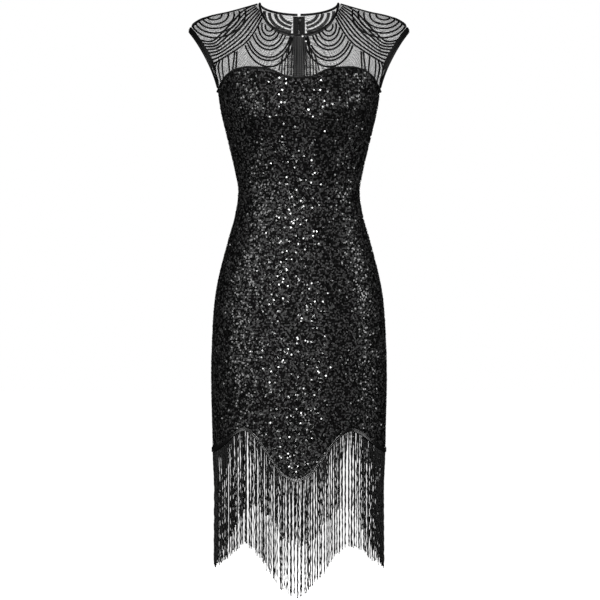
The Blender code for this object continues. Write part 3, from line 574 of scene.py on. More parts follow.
def sequin_spots(side, hand):
    """Ribs and levels of the sequins of one panel, in staggered rows."""
    spots = []
    fine = np.linspace(-1 if side == FRONT else 0, 1, 241)
    lowest = float(hem_at(side, fine).min())
    highest = float(top_at(side, fine).max())
    for row, level in enumerate(np.arange(lowest, highest, SEQUIN_ROW)):
        path = surface(side, fine, level)
        lengths = run_lengths(path)
        if side == FRONT:
            lengths = lengths - lengths[-1] / 2
        start = lengths[0] + (row % 2) * SEQUIN_PITCH / 2
        along = np.arange(start, lengths[-1], SEQUIN_PITCH)
        along = along + RANDOM.uniform(-0.0006, 0.0006, along.shape)
        levels = level + RANDOM.uniform(-0.0005, 0.0005, along.shape)
        s = np.interp(along, lengths, fine)
        x = np.interp(along, lengths, path[:, 0])
        keep = levels < top_at(side, s) - SEQUIN_CLEAR
        keep &= levels > hem_at(side, s) + SEQUIN_CLEAR
        keep &= np.abs(s) < 0.994
        if side == BACK:
            inner = CHAIN_HALF + 0.0024 if CHEST_Z + level > ZIP_BOTTOM_Z else 0.0019
            keep &= x > inner
        spots.append(np.stack([s[keep], levels[keep]], 1))
    spots = np.vstack(spots)
    spots[:, 0] *= hand
    return spots


def build_sequins(name, side, hand, finishes_and_shade):
    """Sequins of one panel, sewn like shingles with a little disorder."""
    spots = sequin_spots(side, hand)
    s, h = spots[:, 0], spots[:, 1]
    centre = raised(side, s, h, SEQUIN_LIFT)
    normal = outward(side, s, h)
    lean = crease_lean(side, s, h)
    down = unit(np.array([0.0, 0.0, -1.0]) + normal * normal[:, 2:3])
    across = np.cross(normal, down)
    count = len(s)
    spread = np.where(RANDOM.random(count) < EDGE_SHARE, EDGE_TILT, TILT)
    tilt_down = SHINGLE + RANDOM.normal(0, 1, count) * spread * 0.7
    tilt_across = RANDOM.normal(0, 1, count) * spread * 0.7
    face = unit(normal + lean + down * tilt_down[:, None] + across * tilt_across[:, None])
    first = unit(across - face * (across * face).sum(1, keepdims=True))
    second = np.cross(face, first)
    angles = np.arange(SEQUIN_SIDES) * 2 * math.pi / SEQUIN_SIDES
    ring = first[:, None] * np.cos(angles)[:, None] + second[:, None] * np.sin(angles)[:, None]
    height = RANDOM.uniform(0, SEQUIN_STACK, count)
    verts = centre[:, None] + ring * SEQUIN_RADIUS + normal[:, None] * height[:, None, None]
    faces = np.arange(count * SEQUIN_SIDES).reshape(count, SEQUIN_SIDES)
    piece = new_mesh(name, verts, faces, finishes_and_shade[0], smooth=False)
    for material in finishes_and_shade[1:]:
        piece.data.materials.append(material)
    # Each sequin takes a row at random; the near-black ones are painted shade for the gaps between
    # sequins.
    chosen = RANDOM.choice(len(finishes_and_shade), count, p=FINISH_AND_SHADE_SHARES).astype(np.int32)
    piece.data.polygons.foreach_set("material_index", chosen)
    return piece


def crease_lean(side, s, h):
    """Tilt that the creases give to the cloth at each place."""
    step = 0.003
    here = surface(side, s, h)
    lean = np.zeros(here.shape)
    for axis in (0, 2):
        move = np.zeros(3)
        move[axis] = step
        rise = crease_height(side, here + move) - crease_height(side, here - move)
        lean[:, axis] = -rise / (2 * step)
    return lean


# Net yoke and its sewn cord: paths in front view, +X half

NET_LAYERS = (-0.0004, -0.0008)
CORD_HALF_WIDTH = 0.00205
CORD_HALF_RISE = 0.0008
THREAD_WIDTH = 0.056
SWEEP_LOW = ((0.0725, -0.0260), (0.0749, -0.0355), (0.0898, -0.0637), (0.1080, -0.0852),
             (0.1346, -0.1035), (0.1611, -0.1184), (0.1800, -0.1290))
SWEEP_HIGH = ((0.0900, -0.0030), (0.1147, -0.0156), (0.1313, -0.0338), (0.1478, -0.0520),
              (0.1611, -0.0653), (0.1727, -0.0753), (0.1860, -0.0769), (0.2080, -0.0700))
SWEEP_SHARES = (0.0, 0.13, 0.27, 0.40, 0.54, 0.67, 0.80, 0.93)
# Rings on the cap: half width toward the neck, half width toward the tip, depth
CAP_CENTRE = (0.170, -0.0255)
CAP_CURVES = ((0.064, 0.048, 0.0465), (0.052, 0.041, 0.0370), (0.041, 0.033, 0.0280),
              (0.029, 0.024, 0.0190), (0.016, 0.014, 0.0100))
# Scallops beside the neck and arcs below the back neck: half width, depth
SCALLOP_CENTRE = (0.0590, -0.050)
SCALLOPS = ((0.0540, 0.0830), (0.0490, 0.0705), (0.0440, 0.0640), (0.0350, 0.0485),
            (0.0290, 0.0410), (0.0215, 0.0300), (0.0150, 0.0205), (0.0080, 0.0105))
BACK_ARCS = ((0.036, 0.020), (0.039, 0.0225), (0.046, 0.028), (0.049, 0.030),
             (0.058, 0.036), (0.061, 0.039), (0.068, 0.043), (0.071, 0.045))
FAN_LINES = (
    ((0.0000, -0.060), (0.0000, -0.165)),
    ((0.0040, -0.062), (0.0055, -0.165)),
    ((0.0080, -0.064), (0.0115, -0.165)),
    ((0.0115, -0.066), (0.0165, -0.165)),
    ((0.0150, -0.068), (0.0215, -0.110), (0.0225, -0.165)),
    ((0.0180, -0.080), (0.0270, -0.120), (0.0285, -0.165)),
    ((0.0330, -0.118), (0.0345, -0.160)),
    ((0.0225, -0.094), (0.0320, -0.112), (0.0400, -0.140)),
)
SHORT_LINES = (
    ((0.1230, -0.1005), (0.1250, -0.1400)),
    ((0.1275, -0.1010), (0.1318, -0.1420)),
    ((0.1405, -0.1070), (0.1375, -0.1450)),
    ((0.1520, -0.1155), (0.1525, -0.1300), (0.1495, -0.1560)),
    ((0.1578, -0.1180), (0.1605, -0.1330), (0.1545, -0.1620)),
    ((0.1640, -0.1205), (0.1670, -0.1370), (0.1600, -0.1660)),
)
EDGE_ROWS = (0.0042, 0.0074)


def smooth_path(corners, count=48):
    """Even, rounded run of points through the corners, Catmull-Rom."""
    p = np.asarray(corners, dtype=float)
    if len(p) == 2:
        t = np.linspace(0, 1, count)[:, None]
        return p[0] * (1 - t) + p[1] * t
    p = np.vstack([2 * p[0] - p[1], p, 2 * p[-1] - p[-2]])
    parts = []
    for a, b, c, d in zip(p[:-3], p[1:-2], p[2:-1], p[3:]):
        t = np.linspace(0, 1, 24, endpoint=False)[:, None]
        parts.append(0.5 * (2 * b + (c - a) * t + (2 * a - 5 * b + 4 * c - d) * t * t
                            + (3 * b - a - 3 * c + d) * t ** 3))
    line = np.vstack(parts + [p[-2:-1]])
    lengths = run_lengths(line)
    return read_path(np.linspace(0, lengths[-1], count), lengths, line)


def half_ellipse(centre, left, right, depth, rise=20, count=56):
    """Lower half of an ellipse with unequal sides, its arms carried up a little."""
    angle = np.radians(np.linspace(-90 - rise, 90 + rise, count))
    reach = np.where(angle < 0, left, right)
    return np.stack([centre[0] + reach * np.sin(angle), centre[1] - depth * np.cos(angle)], 1)


def yoke_paths(side):
    """Cord lines of one side in front view, both halves."""
    low, high = smooth_path(SWEEP_LOW), smooth_path(SWEEP_HIGH)
    lines = [low * (1 - t) + high * t for t in SWEEP_SHARES]
    lines += [half_ellipse(CAP_CENTRE, a, b, d, 12) for a, b, d in CAP_CURVES]
    edge = low[np.argsort(low[:, 1])]
    for a, d in SCALLOPS:
        line = half_ellipse(SCALLOP_CENTRE, a, a, d)
        border = np.interp(line[:, 1], edge[:, 1], edge[:, 0])
        lines += keep_runs(line, (line[:, 0] < border - 0.0016) & (line[:, 0] > 0.012))
    lines += [smooth_path(line) for line in SHORT_LINES]
    if side == BACK:
        lengths = np.cumsum([len(line) for line in lines])[:-1]
        lines = np.split(behind(np.vstack(lines)), lengths)
        lines = [part for line in lines
                 for part in keep_runs(line, (line[:, 1] < -0.066) | (line[:, 0] > 0.080))]
        lines += [half_ellipse((0.0, -NECK_DROP[BACK]), a, a, d, 4) for a, d in BACK_ARCS]
        lines = [part for line in lines for part in keep_runs(line, line[:, 0] > 0.0135)]
    return lines + [line * np.array([-1, 1]) for line in lines]


def behind(line):
    """Front-view line moved so that it lies behind the same line of the front yoke."""
    s, h, _ = find_place(FRONT, line[:, 0], line[:, 1])
    front_y = surface(FRONT, s, h)[:, 1]
    s, h, _ = find_place(BACK, line[:, 0], line[:, 1])
    back_y = surface(BACK, s, h)[:, 1]
    grow = ((CAMERA_DISTANCE + back_y) / (CAMERA_DISTANCE + front_y))[:, None]
    centre = np.array([0.0, -0.594])
    return centre + (line - centre) * grow


def edge_rows(side):
    """Cord rows beside the shoulder seam and round the cap, on the +X half."""
    rows = []
    for away in EDGE_ROWS:
        def clear(s):
            return distance_to(ARMHOLE_LOOP, surface(side, s, levels)) > away
        levels = np.linspace(0.045, RIB_SPAN * 0.995, 40)
        rows.append((find_levels(clear, 0.7, 1.0, levels.shape), levels))
    shares = np.linspace(NECK_SHARE + 0.02, 0.96, 40)
    for up in (0.988, 0.966):
        rows.append((shares, np.full(shares.shape, RIB_SPAN * up)))
    return rows


def keep_runs(points, keep, least=5):
    """Unbroken runs of the points that are kept."""
    marks = np.flatnonzero(np.diff(np.concatenate([[0], keep.astype(int), [0]])))
    return [points[a:b] for a, b in zip(marks[::2], marks[1::2]) if b - a >= least]


def find_place(side, x, z):
    """Rib and level of points given in front view."""
    s_table, h_table = np.meshgrid(np.linspace(-1, 1, 81), np.linspace(-0.02, RIB_SPAN, 41),
                                   indexing="ij")
    places = surface(side, s_table, h_table)[..., ::2].reshape(-1, 2)
    target = np.stack([x, z], -1)
    nearest = np.argmin(((target[:, None] - places[None]) ** 2).sum(-1), 1)
    s, h = s_table.ravel()[nearest], h_table.ravel()[nearest]
    for _ in range(8):
        along_s, along_h = slopes(side, s, h)
        miss = target - surface(side, s, h)[..., ::2]
        a, b = along_s[..., 0], along_h[..., 0]
        c, d = along_s[..., 2], along_h[..., 2]
        size = a * d - b * c
        size = np.where(np.abs(size) < 1e-6, 1e-6, size)
        move_s = (d * miss[:, 0] - b * miss[:, 1]) / size
        move_h = (a * miss[:, 1] - c * miss[:, 0]) / size
        s = np.clip(s + np.clip(move_s, -0.05, 0.05), -0.998, 0.998)
        h = np.clip(h + np.clip(move_h, -0.01, 0.01), -0.03, RIB_SPAN * 0.995)
    found = np.abs(target - surface(side, s, h)[..., ::2]).max(-1) < 0.0008
    return s, h, found


def tube(points, normals, half_width, half_rise, sides=6):
    """Verts and faces of a closed cord along points, lying flat on the normals."""
    count = len(points)
    along = unit(np.gradient(points, axis=0))
    across = unit(np.cross(along, normals))
    up = np.cross(across, along)
    angle = (np.arange(sides) + 0.5) * 2 * math.pi / sides
    ring = (across[:, None] * np.cos(angle)[:, None] * half_width
            + up[:, None] * np.sin(angle)[:, None] * half_rise)
    verts = (points[:, None] + ring).reshape(-1, 3)
    verts = np.vstack([verts, points[:1], points[-1:]])
    faces = [tuple(f) for f in grid_faces(count, sides, closed=True)]
    first, last = count * sides, count * sides + 1
    start = (count - 1) * sides
    for i in range(sides):
        j = (i + 1) % sides
        faces.append((j, i, first))
        faces.append((start + i, start + j, last))
    return verts, faces


def join_mesh(name, parts, material, node=None):
    """One object from many runs of verts and faces."""
    verts, faces, start = [], [], 0
    for part_verts, part_faces in parts:
        verts.append(part_verts)
        faces += [tuple(int(i) + start for i in f) for f in part_faces]
        start += len(part_verts)
    mesh = bpy.data.meshes.new(name)
    mesh.from_pydata(np.vstack(verts).tolist(), [], faces)
    return place_mesh(mesh, material, node)


def laid_cord(side, s, h, half_width=CORD_HALF_WIDTH, half_rise=CORD_HALF_RISE):
    """Cord lying on the net through the given ribs and levels."""
    points = raised(side, s, h, half_rise * 0.5)
    return tube(points, outward(side, s, h), half_width, half_rise)


def build_cords(name, side, hand, material):
    """Cord sewn on the net of one yoke."""
    lines = [line for line in yoke_paths(side) if not hand or np.mean(line[:, 0]) * hand > 0]
    spots = np.vstack(lines)
    s, h, found = find_place(side, spots[:, 0], spots[:, 1])
    places = raised(side, s, h, 0.0)
    mirrored = places * np.where(places[:, :1] < 0, -1, 1) ** np.array([1, 0, 0])
    keep = found & (h > seam_at(side, s) + 0.002) & (np.abs(s) < 0.99)
    keep &= distance_to(NECK_LINE, places) > BINDING_RADIUS + 0.0008
    keep &= distance_to(ARMHOLE_LOOP, mirrored) > BINDING_RADIUS + 0.0008
    keep &= side * places[:, 1] > CORD_HALF_WIDTH + 0.0004
    parts = []
    ends = np.cumsum([len(line) for line in lines])[:-1]
    for run_places, run_keep in zip(np.split(np.stack([s, h], 1), ends), np.split(keep, ends)):
        for run in keep_runs(run_places, run_keep):
            run = smooth_path(run, max(6, int(len(run) * 0.9)))
            parts.append(laid_cord(side, run[:, 0], run[:, 1]))
    for s, h in edge_rows(side):
        for mirror in (1, -1):
            if not hand or mirror == hand:
                parts.append(laid_cord(side, s * mirror, h))
    return join_mesh(name, parts, material)


def build_fan(cord, thread):
    """Fine cords and threads that fan out below the middle of the neck, the threads' grey tone
    being painted sheen.
    """
    cords = [smooth_path(line) for line in FAN_LINES]
    cords += [line * np.array([-1, 1]) for line in cords[1:]]
    threads = [smooth_path(((t * 0.013, -0.067), (t * 0.018, -0.110), (t * 0.028, -0.166)))
               for t in np.linspace(-1, 1, 28)]
    pieces = []
    for name, lines, half_width, material in (("fan_cords", cords, 0.0016, cord),
                                              ("fan_threads", threads, 0.0006, thread)):
        spots = np.vstack(lines)
        s, h, found = find_place(FRONT, spots[:, 0], spots[:, 1])
        keep = found & (h > seam_at(FRONT, s) + 0.002)
        keep &= distance_to(NECK_LINE, raised(FRONT, s, h, 0.0)) > BINDING_RADIUS + 0.0008
        count = len(lines)
        parts = []
        for places, kept in zip(np.split(np.stack([s, h], 1), count), np.split(keep, count)):
            parts += [laid_cord(FRONT, run[:, 0], run[:, 1], half_width, 0.0006)
                      for run in keep_runs(places, kept)]
        pieces.append(join_mesh(name, parts, material))
    return pieces


def build_net(name, side, hand, material, node):
    """Sheer net of one yoke, with the cap sleeve cut on."""
    if side == FRONT:
        shares = np.linspace(-0.985, 0.985, 141)
    else:
        shares = np.linspace(0.0, 0.985, 72)
    neck_end = RIB_SPAN * 0.972
    end = np.where(np.abs(shares) < NECK_SHARE, neck_end, RIB_SPAN * 0.997)
    start = seam_at(side, shares) + 0.0008
    t = np.linspace(0, 1, 56)[:, None]
    h_grid = start + (end - start) * t
    s_grid = np.broadcast_to(shares, h_grid.shape).copy()
    if side == BACK:
        def narrow(s):
            return np.abs(surface(BACK, s, h_grid[:, 0])[..., 0]) < CHAIN_HALF
        edge = find_levels(narrow, 0.0, 0.2, (len(t),))
        s_grid = hand * (s_grid + edge[:, None] * np.linspace(1, 0, len(shares)) ** 3)
    faces = [raised(side, s_grid, h_grid, depth) for depth in NET_LAYERS]
    return shell_mesh(name, *faces, material, "corded_net", node)


def net_material():
    """Sheer black net: fine threads with open cells between them, the threads lifted to grey as
    painted sheen.
    """
    material, shader = new_material("sheer_net", 0.6, 0.3)
    cells = texture(material, "Voronoi", Scale=640.0, Randomness=0.25)
    cells.feature = "DISTANCE_TO_EDGE"
    thread = add_node(material, "Math")
    thread.operation = "LESS_THAN"
    thread.inputs[1].default_value = THREAD_WIDTH
    link(material, cells.outputs["Distance"], thread.inputs[0])
    link(material, thread.outputs["Value"], shader.inputs["Alpha"])
    noise = texture(material, "Noise", Scale=300.0).outputs["Fac"]
    # Thread tone: grey painted sheen on black thread, varied at random by the noise.
    ramp(material, noise, ((0.3, 0.050), (0.7, 0.150)), shader.inputs["Base Color"])
    return material


def twisted_material(name, rough, specular, scale, distortion, tones, height):
    """Black cord or woven tape whose twist or weave shows in its tone and bumps."""
    material, shader = new_material(name, rough, specular)
    twist = bands(material, "DIAGONAL", Scale=scale, Distortion=distortion)
    ramp(material, twist, zip((0.2, 0.8), tones), shader.inputs["Base Color"])
    bump(material, shader, twist, height, 0.0003)
    return material


# Trims: bindings, piping, hem band, beads and fringe

STRANDS = 230
STRAND_GATHER = 0.985
STRAND_RINGS = 46
STRAND_THICKNESS = (0.00070, 0.00108)
STRAND_TWIST = 60.0
ROOT_DROP = 0.006


def beads(name, points, radii, normals, material, node=None, rings=4, sides=6, flat=0.8):
    """Small round beads, a little flattened along their normals."""
    radii = np.broadcast_to(radii, len(points))
    lat = np.linspace(0, math.pi, rings + 1)[1:-1]
    lon = np.arange(sides) * 2 * math.pi / sides
    ball = [(0.0, 0.0, 1.0)]
    for a in lat:
        ball += [(math.sin(a) * math.cos(b), math.sin(a) * math.sin(b), math.cos(a)) for b in lon]
    ball = np.array(ball + [(0.0, 0.0, -1.0)])
    faces = []
    end = 1 + (len(lat) - 1) * sides
    for i in range(sides):
        faces.append((0, 1 + i, 1 + (i + 1) % sides))
        faces.append((len(ball) - 1, end + (i + 1) % sides, end + i))
    for row in range(len(lat) - 1):
        for i in range(sides):
            a, b = 1 + row * sides + i, 1 + row * sides + (i + 1) % sides
            faces += [(a, a + sides, b), (b, a + sides, b + sides)]
    first = unit(np.cross(normals, (0.3, 0.2, 1.0)))
    second = np.cross(normals, first)
    shape = (first[:, None] * ball[:, :1] + second[:, None] * ball[:, 1:2]
             + normals[:, None] * ball[:, 2:] * flat)
    verts = points[:, None] + shape * radii[:, None, None]
    faces = np.array(faces) + (np.arange(len(points)) * len(ball))[:, None, None]
    return new_mesh(name, verts, faces.reshape(-1, 3), material, node)


def even_points(path, pitch, closed=False):
    """Points evenly spaced along a path."""
    if closed:
        path = np.vstack([path, path[:1]])
    lengths = run_lengths(path)
    count = max(3, int(round(lengths[-1] / pitch)))
    return read_path(np.linspace(0, lengths[-1], count, endpoint=not closed), lengths, path)


def round_tube(path, radius, sides=8, closed=False, swell=0.0):
    """Round cord along a path, swelling evenly where a row of beads shows."""
    count = len(path)
    ahead = np.roll(path, -1, axis=0) - np.roll(path, 1, axis=0)
    if not closed:
        ahead[0], ahead[-1] = path[1] - path[0], path[-1] - path[-2]
    ahead = unit(ahead)
    helper = np.where(np.abs(ahead[:, 1:2]) < 0.9, (0.0, 1.0, 0.0), (1.0, 0.0, 0.0))
    side_way = unit(np.cross(ahead, helper))
    up = np.cross(side_way, ahead)
    angle = np.arange(sides) * 2 * math.pi / sides
    size = radius * (1 + swell * np.cos(np.arange(count) * math.pi))
    ring = side_way[:, None] * np.cos(angle)[:, None] + up[:, None] * np.sin(angle)[:, None]
    verts = (path[:, None] + ring * size[:, None, None]).reshape(-1, 3)
    faces = [tuple(f) for f in grid_faces(count, sides, closed=True)]
    if closed:
        last = (count - 1) * sides
        for i in range(sides):
            j = (i + 1) % sides
            faces.append((last + i, last + j, j, i))
        return verts, faces
    faces.append(tuple(range(sides))[::-1])
    faces.append(tuple(range((count - 1) * sides, count * sides)))
    return verts, faces


def build_bindings(material):
    """Rolled bindings of the neck and of both armholes."""
    for name, line, closed, node in (
            ("neck", NECK_LINE, False, "neck_binding"),
            ("right", ARMHOLE_LINE, True, "armhole_binding_right"),
            ("left", ARMHOLE_LINE * np.array([-1, 1, 1]), True, "armhole_binding_left")):
        tube_parts = round_tube(even_points(line, 0.0028, closed), BINDING_RADIUS, closed=closed)
        join_mesh(name + "_rolled_binding", [tube_parts], material, node)


def seam_places(side, hand):
    """Ribs and levels along the piping of one yoke seam."""
    first = -1.0 if side == FRONT else 0.0
    shares = np.linspace(first, 1.0, 240)
    levels = (seam_at(side, shares) + top_at(side, shares)) / 2
    x = surface(side, shares, levels)[:, 0]
    keep = np.abs(seam_at(side, shares) - top_at(side, shares)) < 0.0012
    if side == BACK:
        keep &= x > CHAIN_HALF + 0.0006
    return shares[keep] * (hand or 1), levels[keep]


def build_pipings(material):
    """Piping along the sweetheart seam and the back yoke seam."""
    for side, hand, node in ((FRONT, 0, "bust_seam_piping"), (BACK, 1, "back_seam_piping_right"),
                             (BACK, -1, "back_seam_piping_left")):
        s, h = seam_places(side, hand)
        path = even_points(raised(side, s, h, PIPING_RADIUS + 0.0008), 0.003)
        join_mesh(node + "_cord", [round_tube(path, 0.0019)], material, node)


def hem_line(side, distance, below, pitch):
    """Even points below the hem at a distance from the face."""
    shares = np.linspace(-0.9985, 0.9985, 700)
    return even_points(raised(side, shares, hem_at(side, shares) - below, distance), pitch)


def build_fringe(side, node, cord, band):
    """Beaded fringe: a band along the hem and crinkled strands that hang from it."""
    rows = [round_tube(hem_line(side, 0.0010, below, 0.0019), 0.0017, sides=6, swell=0.22)
            for below in (0.0005, 0.0052)]
    rows.append(round_tube(hem_line(side, -0.0004, 0.0030, 0.004), 0.0026, sides=6))
    join_mesh(node + "_heading", rows, band)
    base = hem_line(side, -0.0002, ROOT_DROP, 0.0001)
    marks = np.arange(len(base))
    count = STRANDS
    steps = np.diff(base, axis=0)
    flat = np.linalg.norm(steps[:, :2], axis=1) / np.linalg.norm(steps, axis=1)
    ends = np.minimum(np.arange(len(steps)), np.arange(len(steps))[::-1]) / len(steps)
    room = (0.30 + 0.70 * flat) * (1 + 0.5 * np.exp(-(ends / 0.05) ** 2))
    share = np.concatenate([[0], np.cumsum(room)]) / room.sum()
    places = np.linspace(0.0, 1.0, count) + RANDOM.uniform(-0.35, 0.35, count) / count
    places = np.interp(np.clip(places, 0, 1), share, np.linspace(0, 1, len(share)))
    index = places * (len(base) - 1)
    roots = read_path(index, marks, base)
    groups = count // 3
    gather = (np.round(places * groups + RANDOM.uniform(-0.3, 0.3, count)) / groups - places)
    target = np.clip(index + gather * (len(base) - 1), 0, len(base) - 1)
    shift = (read_path(target, marks, base) - roots) * np.array([1.0, 1.0, 0.0])
    levels = np.linspace(0, 1, STRAND_RINGS)
    length = FRINGE_DROP - ROOT_DROP + RANDOM.normal(0, 0.0035, count)
    length = np.minimum(length, FRINGE_DROP + 0.002)
    down = levels[None] * length[:, None]
    hold = smooth_step(levels / 0.35)
    phase = RANDOM.uniform(0, 2 * math.pi, (count, 4))
    wave = RANDOM.uniform(0.018, 0.032, (count, 2))
    size = RANDOM.uniform(0.0003, 0.0008, (count, 1))
    drift = RANDOM.normal(0, 0.0011, (count, 1))
    along = np.gradient(base, axis=0)[np.clip(index.astype(int), 0, len(base) - 1)]
    along[:, 2] = 0
    along = unit(along)
    out = np.stack([along[:, 1], -along[:, 0], 0 * along[:, 0]], 1) * -side
    sway = size * np.sin(down / wave[:, :1] * 2 * math.pi + phase[:, :1]) * hold
    sway = sway + drift * levels * hold
    push = size * 0.8 * np.sin(down / wave[:, 1:] * 2 * math.pi + phase[:, 1:2]) * hold
    push = push + RANDOM.normal(0, 0.0010, (count, 1)) * levels - 0.0006 * hold
    line = (roots[:, None] + shift[:, None] * (0.8 * hold)[None, :, None]
            + along[:, None] * sway[..., None] + out[:, None] * push[..., None])
    line[..., 2] = roots[:, None, 2] - down
    line[..., 0] *= 1 - (1 - STRAND_GATHER) * hold
    swell = np.where(np.arange(STRAND_RINGS) % 2, 1.16, 0.80)
    thick = (RANDOM.uniform(*STRAND_THICKNESS, (count, 1)) * swell)[..., None]
    turn = phase[:, 2:3] + down * STRAND_TWIST
    around = turn[..., None] + np.arange(4) * math.pi / 2
    verts = (line[:, :, None] + along[:, None, None] * (np.cos(around) * thick)[..., None]
             + out[:, None, None] * (np.sin(around) * thick)[..., None])
    corners = STRAND_RINGS * 4
    caps = np.array([[3, 2, 1, 0], np.arange(corners - 4, corners)])
    one = np.vstack([grid_faces(STRAND_RINGS, 4, closed=True), caps])
    faces = one + (np.arange(count) * corners)[:, None, None]
    new_mesh(node + "_strands", verts, faces.reshape(-1, 4), cord, node,
             smooth=False)


def bead_material(name, grey, rough, specular=0.6):
    """Glass or plastic beads with a little variation."""
    return varied_material(name, rough, specular, (grey * 0.6, grey * 1.6),
                           (rough * 0.7, rough * 1.3))


def binding_material():
    """Black satin binding with fine cross ribs."""
    material, shader = new_material("black_binding", 0.5, 0.18)
    ribs = bands(material, "DIAGONAL", Scale=190.0, Distortion=0.8)
    noise = texture(material, "Noise", Scale=160.0, Detail=2.0).outputs["Fac"]
    ramp(material, noise, ((0.35, 0.0012), (0.65, 0.0060)), shader.inputs["Base Color"])
    bump(material, shader, ribs, 0.5, 0.0003)
    return material


# Centre back zip

TAPE_LAYERS = (-0.0022, -0.0031)
TOOTH_PITCH = 0.0014
TOOTH_RADIUS = 0.00085
STITCH_ROWS = (0.0045, 0.0098)
STITCH_PITCH = 0.0015


def zip_top():
    """Level of the zip's upper end, under the neck binding."""
    def clear(h):
        return distance_to(NECK_LINE, surface(BACK, np.full(h.shape, 0.005), h)) >= BINDING_CLEAR
    return float(find_levels(clear, 0.09, RIB_SPAN, (1,))[0])


def rib_at_x(x, h):
    """Rib of the back at distance x from the centre, on each level."""
    def narrow(s):
        return surface(BACK, s, h)[..., 0] < x
    return find_levels(narrow, 0.0, 0.4, np.shape(h))


def build_zip(tape, teeth):
    """Woven tapes with rows of stitches, and the closed coil between them."""
    top, end = zip_top(), ZIP_BOTTOM_Z - CHEST_Z
    levels = np.linspace(top, end, 90)
    across = np.linspace(0.0009, TAPE_HALF, 7)
    ribs = np.stack([rib_at_x(x, levels) for x in across], 1)
    for hand, node in ((1, "zip_tape_right"), (-1, "zip_tape_left")):
        faces = [raised(BACK, hand * ribs, levels[:, None], depth) for depth in TAPE_LAYERS]
        shell_mesh(node + "_weave", *faces, tape, "zip_tape", node)
    count = int((surface(BACK, 0.0, top)[2] - ZIP_BOTTOM_Z) / TOOTH_PITCH)
    h = np.linspace(top - 0.002, end + 0.001, count)
    middle = raised(BACK, 0.0, h, -0.0012)
    middle[:, 0] = np.where(np.arange(count) % 2, 1, -1) * TOOTH_RADIUS
    beads("zip_coil", middle, TOOTH_RADIUS, outward(BACK, 0.0, h), teeth, "zip_chain")
    path = even_points(raised(BACK, 0.0, np.linspace(top, end, 60), -0.0013), 0.004)
    join_mesh("zip_coil_core", [round_tube(path, 0.0009, sides=6)], teeth)
    stitches = []
    for hand in (1, -1):
        for x in STITCH_ROWS:
            rib = hand * rib_at_x(x, levels)
            path = even_points(raised(BACK, rib, levels, TAPE_LAYERS[1] - 0.0001), STITCH_PITCH)
            for a, b in zip(path[:-1:2], path[1::2]):
                stitches.append(round_tube(np.stack([a, (a + b) / 2, b]), 0.00022, sides=4))
    join_mesh("zip_stitches", stitches, teeth)


def metal_material():
    """Black painted metal with faint wear and mottled gloss."""
    material, shader = new_material("painted_metal", 0.35, 0.5)
    noise = texture(material, "Noise", Scale=500.0, Detail=4.0).outputs["Fac"]
    ramp(material, noise, ((0.35, 0.014), (0.7, 0.05)), shader.inputs["Base Color"])
    ramp(material, noise, ((0.3, 0.24), (0.7, 0.42)), shader.inputs["Roughness"])
    shader.inputs["Metallic"].default_value = 0.9
    return material


def rounded_copy(node, material, body):
    """Copy of a solid with its edges rounded, riding on its body."""
    source = bpy.data.objects[node]
    piece = bpy.data.objects.new(node + "_rounded", source.data.copy())
    piece.matrix_world = source.matrix_world.copy()
    bpy.context.scene.collection.objects.link(piece)
    bm = bmesh.new()
    bm.from_mesh(piece.data)
    bmesh.ops.remove_doubles(bm, verts=bm.verts, dist=1e-6)
    bmesh.ops.dissolve_limit(bm, angle_limit=math.radians(2), verts=bm.verts, edges=bm.edges)
    bm.to_mesh(piece.data)
    bm.free()
    piece.data.materials.clear()
    piece.data.materials.append(material)
    piece.data.shade_smooth()
    rounding = piece.modifiers.new("rounding", "BEVEL")
    rounding.width = 0.00016
    rounding.segments = 2
    rounding.limit_method = "ANGLE"
    rounding.harden_normals = True
    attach(piece, body)
    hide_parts(node)


# Beads at the top of the centre fan: x, z, radius, first the three whose white tone is a painted
# glint
MOTIF = ((0.0073, -0.0715, 0.0022), (0.0140, -0.0820, 0.0020), (0.0240, -0.0880, 0.0015),
         (-0.0040, -0.0740, 0.0010), (0.0010, -0.0790, 0.0010), (0.0060, -0.0850, 0.0010),
         (-0.0110, -0.0830, 0.0010), (0.0190, -0.0950, 0.0010), (-0.0200, -0.0905, 0.0010),
         (0.0030, -0.0930, 0.0009), (-0.0060, -0.0900, 0.0009), (0.0110, -0.0970, 0.0009))


def build_motif(name, rows, material):
    """Faceted beads at the top of the centre fan."""
    places = np.array(rows)
    s, h, _ = find_place(FRONT, places[:, 0], places[:, 1])
    beads(name, raised(FRONT, s, h, 0.0018), places[:, 2], outward(FRONT, s, h), material)


# Stage, lights and camera

def build_camera():
    """Camera in front of the gown, level with its middle."""
    data = bpy.data.cameras.new("camera")
    data.sensor_width = SENSOR * 1000
    data.lens = SENSOR * 1000 * CAMERA_DISTANCE / (PICTURE * METRES_A_PIXEL)
    data.clip_end = 60.0
    camera = bpy.data.objects.new("camera", data)
    x = (PICTURE / 2 - CENTRE_PIXEL[0]) * METRES_A_PIXEL
    z = -(PICTURE / 2 - CENTRE_PIXEL[1]) * METRES_A_PIXEL
    camera.location = (x, -CAMERA_DISTANCE, z)
    camera.rotation_euler = (math.pi / 2, 0.0, 0.0)
    bpy.context.scene.collection.objects.link(camera)
    bpy.context.scene.camera = camera


def area_light(name, place, size, power, aim=(0.0, 0.0, -0.55), tall=None):
    """Soft rectangular light aimed at the gown."""
    data = bpy.data.lights.new(name, "AREA")
    data.shape = "RECTANGLE"
    data.size = size
    data.size_y = tall or size
    data.energy = power
    light = bpy.data.objects.new(name, data)
    light.location = place
    direction = Vector(aim) - Vector(place)
    light.rotation_euler = direction.to_track_quat("-Z", "Y").to_euler()
    bpy.context.scene.collection.objects.link(light)


